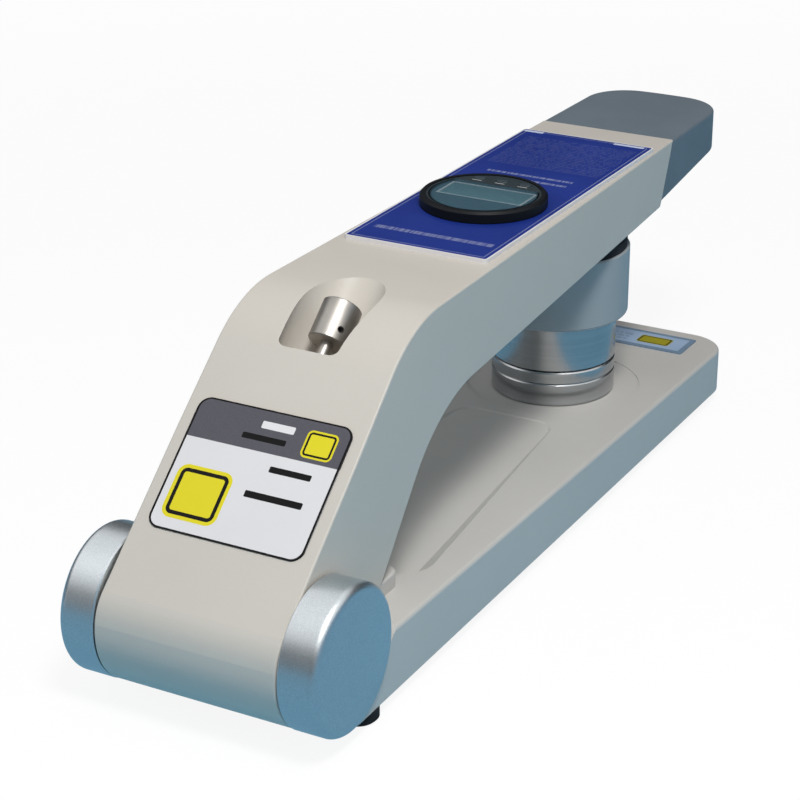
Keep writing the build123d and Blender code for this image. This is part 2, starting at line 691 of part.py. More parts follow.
with BuildPart() as nose_grip:
    with BuildSketch(side()):
        with BuildLine():
            Polyline(
                (ARM_END_Y, ARM_TOP),
                (NOSE_TIP_Y + OVER, ARM_TOP),
                (NOSE_TIP_Y + OVER, NOSE_TIP_Z + nose_rise * OVER),
                (NOSE_HEEL_Y, NOSE_HEEL_Z),
                close=True,
            )
        make_face()
    extrude(amount=2 * ARM_END_HALF, both=True)
    with BuildSketch(level(0)) as grip_plan:
        with BuildLine():
            Polyline(
                (-NOSE_TIP_HALF, NOSE_TIP_Y - NOSE_BOW),
                (-arm_half(NOSE_HEEL_Y - OVER), NOSE_HEEL_Y - OVER),
                (arm_half(NOSE_HEEL_Y - OVER), NOSE_HEEL_Y - OVER),
                (NOSE_TIP_HALF, NOSE_TIP_Y - NOSE_BOW),
            )
            ThreePointArc(
                (NOSE_TIP_HALF, NOSE_TIP_Y - NOSE_BOW),
                (0, NOSE_TIP_Y),
                (-NOSE_TIP_HALF, NOSE_TIP_Y - NOSE_BOW),
            )
        make_face()
        fillet(grip_plan.vertices().group_by(Axis.Y)[-1], NOSE_CORNER_R)
    extrude(amount=ARM_TOP + OVER, mode=Mode.INTERSECT)
    grip_rims = nose_grip.edges().filter_by(lambda e: is_grip_rim(e))
    fillet(grip_rims, NOSE_EDGE_R)
    with BuildSketch(facing(NOSE_HEEL_Y - OVER, (TONGUE_LOW + TONGUE_HIGH) / 2)):
        RectangleRounded(
            2 * (TONGUE_HALF + SEATED), TONGUE_HIGH - TONGUE_LOW + 2 * SEATED, TONGUE_R + SEATED
        )
    extrude(amount=TONGUE_END_Y + TONGUE_END_GAP - NOSE_HEEL_Y + OVER, mode=Mode.SUBTRACT)
    with Locations([under(x, NOSE_SCREW_Y, nose_screw_z) for x in nose_screw_xs]):
        CounterBoreHole(
            NOSE_SCREW_R + RUNNING,
            NOSE_SCREW_HEAD_R + FREE / 2,
            NOSE_SCREW_SINK,
            depth=TONGUE_LOW - nose_screw_z + OVER,
        )
nose_grip.part.label = "nose_grip"
export_step(nose_grip.part, "parts/nose_grip.step")

with BuildPart() as nose_screws:
    with Locations(level(nose_head_z, NOSE_SCREW_Y)):
        with Locations([(x, 0) for x in nose_screw_xs]):
            Cylinder(NOSE_SCREW_R, TONGUE_LOW + NOSE_SCREW_GRIP - nose_head_z, align=STAND_UP)
            Cylinder(NOSE_SCREW_HEAD_R, NOSE_SCREW_HEAD, align=HANG_DOWN)
nose_screws.part.label = "nose_screws"
export_step(nose_screws.part, "parts/nose_screws.step")

with BuildPart() as underside_cover:
    with BuildSketch(tilted(DIAL_Y, belly_z(DIAL_Y), BELLY_SLOPE)):
        Circle(COVER_R)
    extrude(amount=COVER_T)
    chamfer(underside_cover.edges().filter_by(GeomType.CIRCLE).sort_by(Axis.Z)[0], FINE_BREAK)
underside_cover.part.label = "underside_cover"
export_step(underside_cover.part, "parts/underside_cover.step")

# ---- plates -------------------------------------------------------------------------------------
with BuildPart() as panel:
    with BuildSketch(level(ARM_TOP)):
        with Locations((0, (PANEL_Y0 + PANEL_Y1) / 2)):
            RectangleRounded(2 * PANEL_HALF, PANEL_Y1 - PANEL_Y0, PANEL_CORNER_R)
        with Locations((0, DIAL_Y)):
            Circle(CASE_R + CASE_HALF_GAP, mode=Mode.SUBTRACT)
    extrude(amount=PANEL_T)
panel.part.label = "panel"
export_step(panel.part, "parts/panel.step")

with BuildPart() as slope_plate:
    with BuildSketch(face_plane((SLOPE_PLATE_S0 + SLOPE_PLATE_S1) / 2)):
        RectangleRounded(2 * SLOPE_PLATE_HALF, SLOPE_PLATE_S1 - SLOPE_PLATE_S0, SLOPE_PLATE_CORNER_R)
    extrude(amount=SLOPE_PLATE_T)
slope_plate.part.label = "slope_plate"
export_step(slope_plate.part, "parts/slope_plate.step")

end_plate_y = (END_PLATE_Y0 + END_PLATE_Y1) / 2
base_slope = (BASE_FAR_TOP - BASE_REAR_TOP) / (BASE_END_Y - BASE_SLOPE_Y)
with BuildPart() as end_plate:
    with BuildSketch(tilted(end_plate_y, base_top(end_plate_y), base_slope)):
        RectangleRounded(2 * END_PLATE_HALF, END_PLATE_Y1 - END_PLATE_Y0, END_PLATE_CORNER_R)
    extrude(amount=END_PLATE_T)
end_plate.part.label = "end_plate"
export_step(end_plate.part, "parts/end_plate.step")

# ---- catch --------------------------------------------------------------------------------------
with BuildPart() as catch_rod:
    with BuildSketch(rod_plane(rod_tip_s)):
        Circle(ROD_R)
    extrude(amount=KNOB_S1 - KNOB_CAP - ROD_END_GAP - rod_tip_s)
    with BuildSketch(rod_plane(SPRING_S0 - ROD_COLLAR)):
        Circle(ROD_COLLAR_R)
    extrude(amount=ROD_COLLAR)
    chamfer(catch_rod.edges().filter_by(GeomType.CIRCLE).sort_by(Axis.Z)[0], BREAK)
catch_rod.part.label = "catch_rod"
export_step(catch_rod.part, "parts/catch_rod.step")

with BuildPart() as catch_spring:
    with BuildLine() as coil:
        Helix(
            SPRING_PITCH,
            spring_s1 - SPRING_S0 - SPRING_WIRE - 2 * SEATED,
            SPRING_COIL_R,
            center=rod_plane(SPRING_S0 + SPRING_WIRE / 2 + SEATED).origin,
            direction=rod_plane(SPRING_S0).z_dir,
        )
    with BuildSketch(Plane(origin=coil.line @ 0, x_dir=rod_plane(0).z_dir, z_dir=coil.line % 0)):
        Rectangle(SPRING_WIRE, SPRING_WIRE)
    sweep(is_frenet=True)
catch_spring.part.label = "catch_spring"
export_step(catch_spring.part, "parts/catch_spring.step")

with BuildPart() as rod_bush:
    with BuildSketch(rod_plane(spring_s1)):
        Circle(ROD_BUSH_R)
        Circle(ROD_R + RUNNING, mode=Mode.SUBTRACT)
    extrude(amount=ROD_BUSH_LENGTH)
rod_bush.part.label = "rod_bush"
export_step(rod_bush.part, "parts/rod_bush.step")

with BuildPart() as catch_knob:
    with BuildSketch(rod_plane(KNOB_S0)):
        Circle(KNOB_R)
    extrude(amount=KNOB_S1 - KNOB_S0)
    chamfer(catch_knob.edges().filter_by(GeomType.CIRCLE), KNOB_BREAK)
    with BuildSketch(rod_plane(KNOB_S0)):
        Circle(ROD_R + TIGHT)
    extrude(amount=KNOB_S1 - KNOB_CAP - KNOB_S0, mode=Mode.SUBTRACT)
    with Locations(knob_hole_plane(KNOB_R)):
        Hole(KNOB_HOLE_R, depth=KNOB_R - ROD_R)
catch_knob.part.label = "catch_knob"
export_step(catch_knob.part, "parts/catch_knob.step")

with BuildPart() as knob_screw:
    with BuildSketch(knob_hole_plane(ROD_R + TIGHT)):
        Circle(KNOB_HOLE_R - SEATED)
    extrude(amount=KNOB_SCREW_L)
knob_screw.part.label = "knob_screw"
export_step(knob_screw.part, "parts/knob_screw.step")

# ---- lower clamp --------------------------------------------------------------------------------
with BuildPart() as lower_clamp:
    with BuildSketch(level(SEAT_Z, COLUMN_Y)):
        Circle(COLUMN_R)
    extrude(amount=COLLAR_TOP - SEAT_Z)
    chamfer(lower_clamp.edges().filter_by(GeomType.CIRCLE), COLUMN_BREAK)
    with BuildSketch(level(SEAT_Z, COLUMN_Y)):
        Circle(COLLAR_SPIGOT_R)
    extrude(amount=COLLAR_SPIGOT_Z - SEAT_Z)
    with BuildSketch(level(COLLAR_FLOOR, COLUMN_Y)):
        Circle(APERTURE_R)
    extrude(amount=COLLAR_TOP - COLLAR_FLOOR + OVER, mode=Mode.SUBTRACT)
    with Locations(under(0, COLUMN_Y, COLLAR_SPIGOT_Z)):
        with PolarLocations(CLAMP_SCREW_CIRCLE_R, CLAMP_SCREWS, start_angle=90):
            Hole(SCREW_R + TIGHT, depth=CLAMP_SCREW_GRIP + SCREW_TIP)
lower_clamp.part.label = "lower_clamp"
export_step(lower_clamp.part, "parts/lower_clamp.step")

with BuildPart() as reducing_ring:
    with BuildSketch(level(COLLAR_TOP, COLUMN_Y)):
        Circle(COLUMN_R)
    extrude(amount=RING_TOP - COLLAR_TOP)
    chamfer(reducing_ring.edges().filter_by(GeomType.CIRCLE), COLUMN_BREAK)
    with BuildSketch(level(COLLAR_TOP, COLUMN_Y)):
        Circle(APERTURE_R - RUNNING)
    extrude(amount=-RING_SPIGOT)
    with BuildSketch(level(COLLAR_TOP - RING_SPIGOT, COLUMN_Y)):
        Circle(RING_APERTURE_R)
    extrude(amount=RING_TOP - COLLAR_TOP + RING_SPIGOT, mode=Mode.SUBTRACT)
reducing_ring.part.label = "reducing_ring"
export_step(reducing_ring.part, "parts/reducing_ring.step")

with BuildPart() as clamp_screws:
    with Locations(level(clamp_head_z, COLUMN_Y)):
        with PolarLocations(CLAMP_SCREW_CIRCLE_R, CLAMP_SCREWS, start_angle=-90):
            Cylinder(SCREW_R, COLLAR_SPIGOT_Z + CLAMP_SCREW_GRIP - clamp_head_z, align=STAND_UP)
            Cylinder(SCREW_HEAD_R, SCREW_HEAD, align=HANG_DOWN)
clamp_screws.part.label = "clamp_screws"
export_step(clamp_screws.part, "parts/clamp_screws.step")

# ---- upper clamp and weight ---------------------------------------------------------------------
with BuildPart() as clamp_housing:
    with BuildSketch(level(HOUSING_BOTTOM, COLUMN_Y)):
        Circle(HOUSING_R)
    extrude(amount=HOUSING_TOP - HOUSING_BOTTOM)
    fillet(clamp_housing.edges().filter_by(GeomType.CIRCLE).sort_by(Axis.Z)[0], HOUSING_EDGE_R)
    chamfer(clamp_housing.edges().filter_by(GeomType.CIRCLE).sort_by(Axis.Z)[-1], BREAK)
    with BuildSketch(level(HOUSING_TOP, COLUMN_Y)):
        Circle(NECK_R)
    extrude(amount=NECK_TOP - HOUSING_TOP)
    with BuildSketch(level(HOUSING_BOTTOM + HOUSING_FLOOR, COLUMN_Y)):
        Circle(MASS_R + FREE)
    extrude(amount=NECK_TOP - HOUSING_BOTTOM, mode=Mode.SUBTRACT)
    with BuildSketch(level(HOUSING_BOTTOM, COLUMN_Y)):
        Circle(UPPER_SPIGOT_R + SEATED)
    extrude(amount=HOUSING_FLOOR + OVER, mode=Mode.SUBTRACT)
clamp_housing.part.label = "clamp_housing"
export_step(clamp_housing.part, "parts/clamp_housing.step")

with BuildPart() as neck_seal:
    with BuildSketch(level(HOUSING_TOP, COLUMN_Y)):
        Circle(SEAL_R)
        Circle(NECK_R + SEATED, mode=Mode.SUBTRACT)
    extrude(amount=SEAL_H)
    seal_rims = neck_seal.edges().filter_by(GeomType.CIRCLE).group_by(Axis.Z)[-1]
    chamfer(seal_rims.sort_by(SortBy.RADIUS)[-1], BREAK)
neck_seal.part.label = "neck_seal"
export_step(neck_seal.part, "parts/neck_seal.step")

with BuildPart() as upper_clamp:
    with BuildSketch(level(RING_TOP + CLAMP_GAP, COLUMN_Y)):
        Circle(COLUMN_R)
    extrude(amount=HOUSING_BOTTOM - RING_TOP - CLAMP_GAP)
    chamfer(upper_clamp.edges().filter_by(GeomType.CIRCLE).sort_by(Axis.Z)[0], COLUMN_BREAK)
    with BuildSketch(level(HOUSING_BOTTOM, COLUMN_Y)):
        Circle(UPPER_SPIGOT_R)
    extrude(amount=HOUSING_FLOOR)
    with BuildSketch(level(RING_TOP, COLUMN_Y)):
        Circle(APERTURE_R)
    extrude(amount=UPPER_GUIDE_Z - RING_TOP, mode=Mode.SUBTRACT)
    with BuildSketch(level(RING_TOP, COLUMN_Y)):
        Circle(STEM_R + RUNNING)
    extrude(amount=HOUSING_BOTTOM + HOUSING_FLOOR, mode=Mode.SUBTRACT)
upper_clamp.part.label = "upper_clamp"
export_step(upper_clamp.part, "parts/upper_clamp.step")

with BuildPart() as load_mass:
    with BuildSketch(level(MASS_BOTTOM, COLUMN_Y)):
        Circle(MASS_R)
    extrude(amount=MASS_TOP - MASS_BOTTOM)
    chamfer(load_mass.edges().filter_by(GeomType.CIRCLE), BREAK)
    with BuildSketch(level(MASS_BOTTOM, COLUMN_Y)):
        Circle(STEM_R)
    extrude(amount=STEM_BOTTOM - MASS_BOTTOM)
    chamfer(load_mass.edges().filter_by(GeomType.CIRCLE).sort_by(Axis.Z)[0], BREAK)
    with BuildSketch(level(MASS_TOP, COLUMN_Y)):
        Circle(POST_R)
    extrude(amount=post_top - MASS_TOP)
    chamfer(load_mass.edges().filter_by(GeomType.CIRCLE).sort_by(Axis.Z)[-1], POST_BREAK)
    with BuildSketch(level(STEM_BOTTOM, COLUMN_Y)):
        Circle(PIN_R + TIGHT)
    extrude(amount=PIN_ROOT, mode=Mode.SUBTRACT)
load_mass.part.label = "load_mass"
export_step(load_mass.part, "parts/load_mass.step")

with BuildPart() as load_pin:
    with BuildSketch(level(STEM_BOTTOM - PIN_LENGTH, COLUMN_Y)):
        Circle(PIN_R)
    extrude(amount=PIN_LENGTH + PIN_ROOT)
    chamfer(load_pin.edges().filter_by(GeomType.CIRCLE), PIN_BREAK)
load_pin.part.label = "load_pin"
export_step(load_pin.part, "parts/load_pin.step")

# ---- bell crank ---------------------------------------------------------------------------------
with BuildPart() as crank_bracket:
    with BuildSketch(facing(BLOCK_Y0, (BLOCK_LOW + CRANK_BAY_TOP) / 2)):
        Rectangle(2 * (CRANK_BAY_HALF - SEATED), CRANK_BAY_TOP - BLOCK_LOW)
    extrude(amount=BLOCK_Y1 - BLOCK_Y0)
    for x in (-CHEEK_OUTER, CHEEK_INNER):
        with BuildSketch(side(x)):
            with BuildLine():
                Polyline(
                    (BLOCK_Y1, CRANK_Z + CHEEK_TOP),
                    (BLOCK_Y1, BLOCK_LOW),
                    (BRACKET_DROP_Y, BLOCK_LOW),
                    (BRACKET_DROP_Y + BRACKET_STEP, CRANK_Z - CHEEK_BELOW),
                    (crank_y + CHEEK_AHEAD, CRANK_Z - CHEEK_BELOW),
                    (crank_y + CHEEK_AHEAD, CRANK_Z + CHEEK_ABOVE),
                    (crank_y - CHEEK_BEHIND, CRANK_Z + CHEEK_TOP),
                    close=True,
                )
            make_face()
            with Locations((crank_y, CRANK_Z)):
                Circle(CRANK_PIN_R + TIGHT, mode=Mode.SUBTRACT)
        extrude(amount=CHEEK_OUTER - CHEEK_INNER)
    with BuildSketch(facing(BLOCK_Y0, STEM_AXIS_Z)):
        Circle(INDICATOR_STEM_R + SEATED)
        with Locations((-CRANK_BAY_HALF / 2, 0)):
            Rectangle(CRANK_BAY_HALF, BLOCK_SLIT)
    extrude(amount=BLOCK_Y1 - BLOCK_Y0, mode=Mode.SUBTRACT)
crank_bracket.part.label = "crank_bracket"
export_step(crank_bracket.part, "parts/crank_bracket.step")

with BuildPart() as bell_crank:
    with BuildSketch(side()):
        with Locations((crank_y, CRANK_Z)):
            Circle(CRANK_HUB_R)
        for turn in (-crank_rest, 90 - crank_rest):
            with Locations(Location((crank_y, CRANK_Z), turn)):
                with Locations((CRANK_L / 2, 0)):
                    Rectangle(CRANK_L, 2 * CRANK_ARM_HALF)
                with Locations((CRANK_L, 0)):
                    Circle(CRANK_TIP_R)
    extrude(amount=CRANK_HALF, both=True)
    with BuildSketch(side()):
        with Locations((crank_y, CRANK_Z)):
            Circle(CRANK_HUB_R)
    extrude(amount=CHEEK_INNER - FREE, both=True)
    with BuildSketch(side()):
        with Locations((crank_y, CRANK_Z)):
            Circle(CRANK_PIN_R + RUNNING)
    extrude(amount=CHEEK_INNER, both=True, mode=Mode.SUBTRACT)
bell_crank.part.label = "bell_crank"
export_step(bell_crank.part, "parts/bell_crank.step")

with BuildPart() as crank_pin:
    with BuildSketch(side()):
        with Locations((crank_y, CRANK_Z)):
            Circle(CRANK_PIN_R)
    extrude(amount=CHEEK_OUTER + CRANK_PIN_PROUD, both=True)
crank_pin.part.label = "crank_pin"
export_step(crank_pin.part, "parts/crank_pin.step")

# ---- indicator ----------------------------------------------------------------------------------
with BuildPart() as indicator_case:
    with BuildSketch(level(CASE_BACK + BACK_T, DIAL_Y)):
        Circle(CASE_R)
    extrude(amount=dial_bottom - CASE_BACK - BACK_T)
    with BuildSketch(level(dial_bottom, DIAL_Y)):
        Circle(BEZEL_R - BEZEL_WALL - SEATED)
    extrude(amount=face_z - dial_bottom)
    with BuildSketch(facing(DIAL_Y, STEM_AXIS_Z)):
        Circle(INDICATOR_STEM_R)
    extrude(amount=INDICATOR_STEM_END - DIAL_Y)
    # recess for the window, pocket for the display and wells for the buttons
    with BuildSketch(level(window_z - SEATED, DIAL_Y)):
        Circle(WINDOW_R + SEATED)
        with Locations((0, WINDOW_Y + SEATED + WINDOW_R)):
            Rectangle(2 * BEZEL_R, 2 * WINDOW_R, mode=Mode.SUBTRACT)
    extrude(amount=WINDOW_T + OVER, mode=Mode.SUBTRACT)
    with BuildSketch(level(window_z - SEATED, DIAL_Y)):
        with Locations((0, (DISPLAY_Y0 + DISPLAY_Y1) / 2)):
            Rectangle(2 * (DISPLAY_HALF + SEATED), DISPLAY_Y1 - DISPLAY_Y0 + 2 * SEATED)
    extrude(amount=-DISPLAY_T - SEATED, mode=Mode.SUBTRACT)
    with BuildSketch(level(face_z - BUTTON_SINK, DIAL_Y)):
        with Locations([(x, BUTTON_Y) for x in button_xs]):
            SlotOverall(2 * (BUTTON_HALF + BUTTON_GAP), 2 * (BUTTON_DEEP + BUTTON_GAP))
    extrude(amount=BUTTON_SINK + OVER, mode=Mode.SUBTRACT)
    with BuildSketch(facing(SPINDLE_BORE_Y, STEM_AXIS_Z)):
        Circle(SPINDLE_R + RUNNING)
    extrude(amount=INDICATOR_STEM_END + OVER - SPINDLE_BORE_Y, mode=Mode.SUBTRACT)
indicator_case.part.label = "indicator_case"
export_step(indicator_case.part, "parts/indicator_case.step")

with BuildPart() as indicator_back:
    with BuildSketch(level(CASE_BACK, DIAL_Y)):
        Circle(CASE_R)
    extrude(amount=BACK_T)
    chamfer(indicator_back.edges().filter_by(GeomType.CIRCLE).sort_by(Axis.Z)[0], BREAK)
indicator_back.part.label = "indicator_back"
export_step(indicator_back.part, "parts/indicator_back.step")

with BuildPart() as indicator_bezel:
    with BuildSketch(level(dial_bottom, DIAL_Y)):
        Circle(BEZEL_R)
        Circle(BEZEL_R - BEZEL_WALL, mode=Mode.SUBTRACT)
    extrude(amount=BEZEL_H)
    top_rims = indicator_bezel.edges().filter_by(GeomType.CIRCLE).group_by(Axis.Z)[-1]
    chamfer(top_rims.sort_by(SortBy.RADIUS)[-1], BEZEL_BREAK)
indicator_bezel.part.label = "indicator_bezel"
export_step(indicator_bezel.part, "parts/indicator_bezel.step")

with BuildPart() as display:
    with BuildSketch(level(window_z - SEATED - DISPLAY_T, DIAL_Y)):
        with Locations((0, (DISPLAY_Y0 + DISPLAY_Y1) / 2)):
            Rectangle(2 * DISPLAY_HALF, DISPLAY_Y1 - DISPLAY_Y0)
    extrude(amount=DISPLAY_T)
display.part.label = "display"
export_step(display.part, "parts/display.step")

with BuildPart() as display_window:
    with BuildSketch(level(window_z, DIAL_Y)):
        Circle(WINDOW_R)
        with Locations((0, WINDOW_Y + WINDOW_R)):
            Rectangle(2 * BEZEL_R, 2 * WINDOW_R, mode=Mode.SUBTRACT)
    extrude(amount=WINDOW_T)
display_window.part.label = "display_window"
export_step(display_window.part, "parts/display_window.step")

button_foot = face_z - BUTTON_SINK + BUTTON_TRAVEL + BUTTON_GAP
for button_name, x in zip(("button_left", "button_middle", "button_right"), button_xs):
    with BuildPart() as button:
        with BuildSketch(level(button_foot, DIAL_Y)):
            with Locations((x, BUTTON_Y)):
                SlotOverall(2 * BUTTON_HALF, 2 * BUTTON_DEEP)
        extrude(amount=face_z + BUTTON_PROUD - button_foot)
        chamfer(button.faces().sort_by(Axis.Z)[-1].edges(), BUTTON_BREAK)
    button.part.label = button_name
    export_step(button.part, f"parts/{button_name}.step")

with BuildPart() as spindle:
    with BuildSketch(facing(SPINDLE_Y0, STEM_AXIS_Z)):
        Circle(SPINDLE_R)
    extrude(amount=contact_tip_y - CONTACT_LENGTH - SPINDLE_Y0)
spindle.part.label = "spindle"
export_step(spindle.part, "parts/spindle.step")

with BuildPart() as contact_point:
    with BuildSketch(facing(contact_tip_y - CONTACT_LENGTH, STEM_AXIS_Z)):
        Circle(CONTACT_R)
    extrude(amount=CONTACT_LENGTH)
    chamfer(contact_point.edges().filter_by(GeomType.CIRCLE).sort_by(Axis.Y)[-1], CONTACT_BREAK)
contact_point.part.label = "contact_point"
export_step(contact_point.part, "parts/contact_point.step")

# ---- feet ---------------------------------------------------------------------------------------
with BuildPart() as rubber_feet:
    for x, y in foot_spots:
        with BuildSketch(level(base_bottom, y)):
            with Locations((x, 0)):
                Circle(FOOT_R)
        extrude(amount=-FOOT_H)
    chamfer(rubber_feet.faces().group_by(Axis.Z)[0].edges(), FOOT_BREAK)
    with Locations([under(x, y, base_bottom - FOOT_H) for x, y in foot_spots]):
        CounterBoreHole(SCREW_R + SEATED, SCREW_HEAD_R + SEATED, FOOT_SCREW_SINK, depth=FOOT_H)
rubber_feet.part.label = "rubber_feet"
export_step(rubber_feet.part, "parts/rubber_feet.step")

with BuildPart() as foot_screws:
    for x, y in foot_spots:
        with Locations(level(base_bottom - FOOT_H + FOOT_SCREW_SINK, y)):
            with Locations((x, 0)):
                Cylinder(SCREW_R, FOOT_SCREW_L, align=STAND_UP)
                Cylinder(SCREW_HEAD_R, FOOT_SCREW_HEAD, align=HANG_DOWN)
foot_screws.part.label = "foot_screws"
export_step(foot_screws.part, "parts/foot_screws.step")
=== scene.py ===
"""Bench tester with a hinged measuring arm: finishes, small fittings and a plain studio."""

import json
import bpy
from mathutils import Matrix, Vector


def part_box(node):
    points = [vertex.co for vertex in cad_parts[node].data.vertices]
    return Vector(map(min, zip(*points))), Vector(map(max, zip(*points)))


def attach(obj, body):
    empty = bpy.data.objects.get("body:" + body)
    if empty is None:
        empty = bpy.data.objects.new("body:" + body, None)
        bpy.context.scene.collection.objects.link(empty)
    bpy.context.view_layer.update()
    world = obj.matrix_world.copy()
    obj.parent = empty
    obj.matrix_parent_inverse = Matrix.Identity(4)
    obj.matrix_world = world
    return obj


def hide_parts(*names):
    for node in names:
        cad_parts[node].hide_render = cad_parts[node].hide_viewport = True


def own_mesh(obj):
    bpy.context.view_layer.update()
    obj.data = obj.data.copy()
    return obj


bl_info = {
    "name": "Bench Tester Dressing",
    "version": (1, 0, 0),
    "blender": (4, 5, 0),
    "location": "3D View > Sidebar > Tester",
    "description": "Gives a lever-arm bench tester its finishes, screws, printed plates and studio",
    "category": "Object",
}

from math import atan2, cos, radians, sin

import bpy
from bpy.props import FloatProperty, FloatVectorProperty, PointerProperty
from mathutils import Matrix, Vector

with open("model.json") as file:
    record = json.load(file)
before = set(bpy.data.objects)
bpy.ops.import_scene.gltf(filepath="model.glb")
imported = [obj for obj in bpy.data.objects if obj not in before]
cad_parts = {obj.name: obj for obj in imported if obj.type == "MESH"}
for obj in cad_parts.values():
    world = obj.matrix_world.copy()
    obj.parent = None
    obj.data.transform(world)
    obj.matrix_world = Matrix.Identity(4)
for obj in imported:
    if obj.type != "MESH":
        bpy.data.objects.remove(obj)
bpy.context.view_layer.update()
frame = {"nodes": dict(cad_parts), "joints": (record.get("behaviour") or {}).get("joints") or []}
NODES = frame["nodes"]
MM = 0.001


def middle(node):
    """Centre of a node's box."""
    low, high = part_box(node)
    return (low + high) / 2


def joint(name):
    """The frame's joint with that name."""
    return next(j for j in frame["joints"] if j["name"] == name)


# ---- places on the tester -----------------------------------------------------------------------
PIVOT = middle("pivot_shaft")
COLUMN = middle("lower_clamp")
DIAL = middle("indicator_bezel")
PULL = joint("catch_pull")
SLOPE = atan2(PULL["axis"][2], PULL["axis"][1])

# ---- screws -------------------------------------------------------------------------------------
CLAMP_SCREWS = 3
CLAMP_CIRCLE_RADIUS = 16.0 * MM
SMOOTH_ANGLE = radians(35.0)
# shares of the head's radius
SOCKET_RADIUS, EDGE_CHAMFER = 0.56, 0.08
# share of the head's height
SOCKET_DEPTH = 0.6

# ---- shading ------------------------------------------------------------------------------------
PRINT_BLUR = 0.05 * MM
# values between which the soft noise mostly lies
NOISE_LOW, NOISE_HIGH = 0.3, 0.7
# sockets of a Mix node that is set to colours
MIX_FACTOR, MIX_FIRST, MIX_SECOND, MIX_RESULT = 0, 6, 7, 2

# ---- studio -------------------------------------------------------------------------------------
WHITE = (1.0, 1.0, 1.0)
ROOM_COLOUR = (0.98, 0.99, 1.0)
SENSOR_WIDTH = 36.0
LIGHT_TARGET = Vector((0.0, -0.1, 0.06))
# near the object the floor keeps a tenth of its shading, and far off it is plain white
SHADED_FLOOR_RADIUS = 0.45
WHITE_FLOOR_RADIUS = 1.3
SHADED_FLOOR_GLOW = 0.9
# name, place in metres, tilt and turn in degrees, width and height in metres, colour
CARDS = (
    ("back_card", (0.0, 2.2, 0.9), 90, 0, (6.0, 2.4), (0.12, 0.13, 0.14)),
    ("front_card", (0.6, -2.4, 0.8), 90, 0, (5.0, 1.7), (0.40, 0.40, 0.40)),
    ("left_card", (-2.2, 0.0, 0.7), 90, 90, (4.4, 1.5), (0.34, 0.36, 0.38)),
    ("right_card", (2.2, 0.2, 0.6), 90, 90, (4.4, 1.3), (0.42, 0.58, 0.68)),
    ("bench_card", (0.0, 0.0, 0.0006), 0, 0, (4.4, 4.4), (0.47, 0.65, 0.75)),
)


# ---- shader building ----------------------------------------------------------------------------
class Wire:
    """A shader socket that takes part in Python arithmetic."""

    def __init__(self, board, socket):
        self.board = board
        self.socket = socket

    def math(self, operation, *values):
        return self.board.node("ShaderNodeMath", {"operation": operation}, values)

    def __add__(self, other):
        return self.math("ADD", self, other)

    __radd__ = __add__

    def __sub__(self, other):
        return self.math("SUBTRACT", self, other)

    def __rsub__(self, other):
        return self.math("SUBTRACT", other, self)

    def __mul__(self, other):
        return self.math("MULTIPLY", self, other)

    __rmul__ = __mul__

    def __truediv__(self, other):
        return self.math("DIVIDE", self, other)

    def __rtruediv__(self, other):
        return self.math("DIVIDE", other, self)

    def __pow__(self, other):
        return self.math("POWER", self, other)

    def __abs__(self):
        return self.math("ABSOLUTE", self)

    def __gt__(self, other):
        return self.math("GREATER_THAN", self, other)

    def __lt__(self, other):
        return self.math("LESS_THAN", self, other)

    def most(self, other):
        return self.math("MAXIMUM", self, other)

    def least(self, other):
        return self.math("MINIMUM", self, other)

    def root(self):
        return self.math("SQRT", self)

    def whole(self):
        return self.math("FLOOR", self)

    def wrap(self, period):
        """Distance into a repeat of the given length."""
        return self.math("FLOORED_MODULO", self, period)


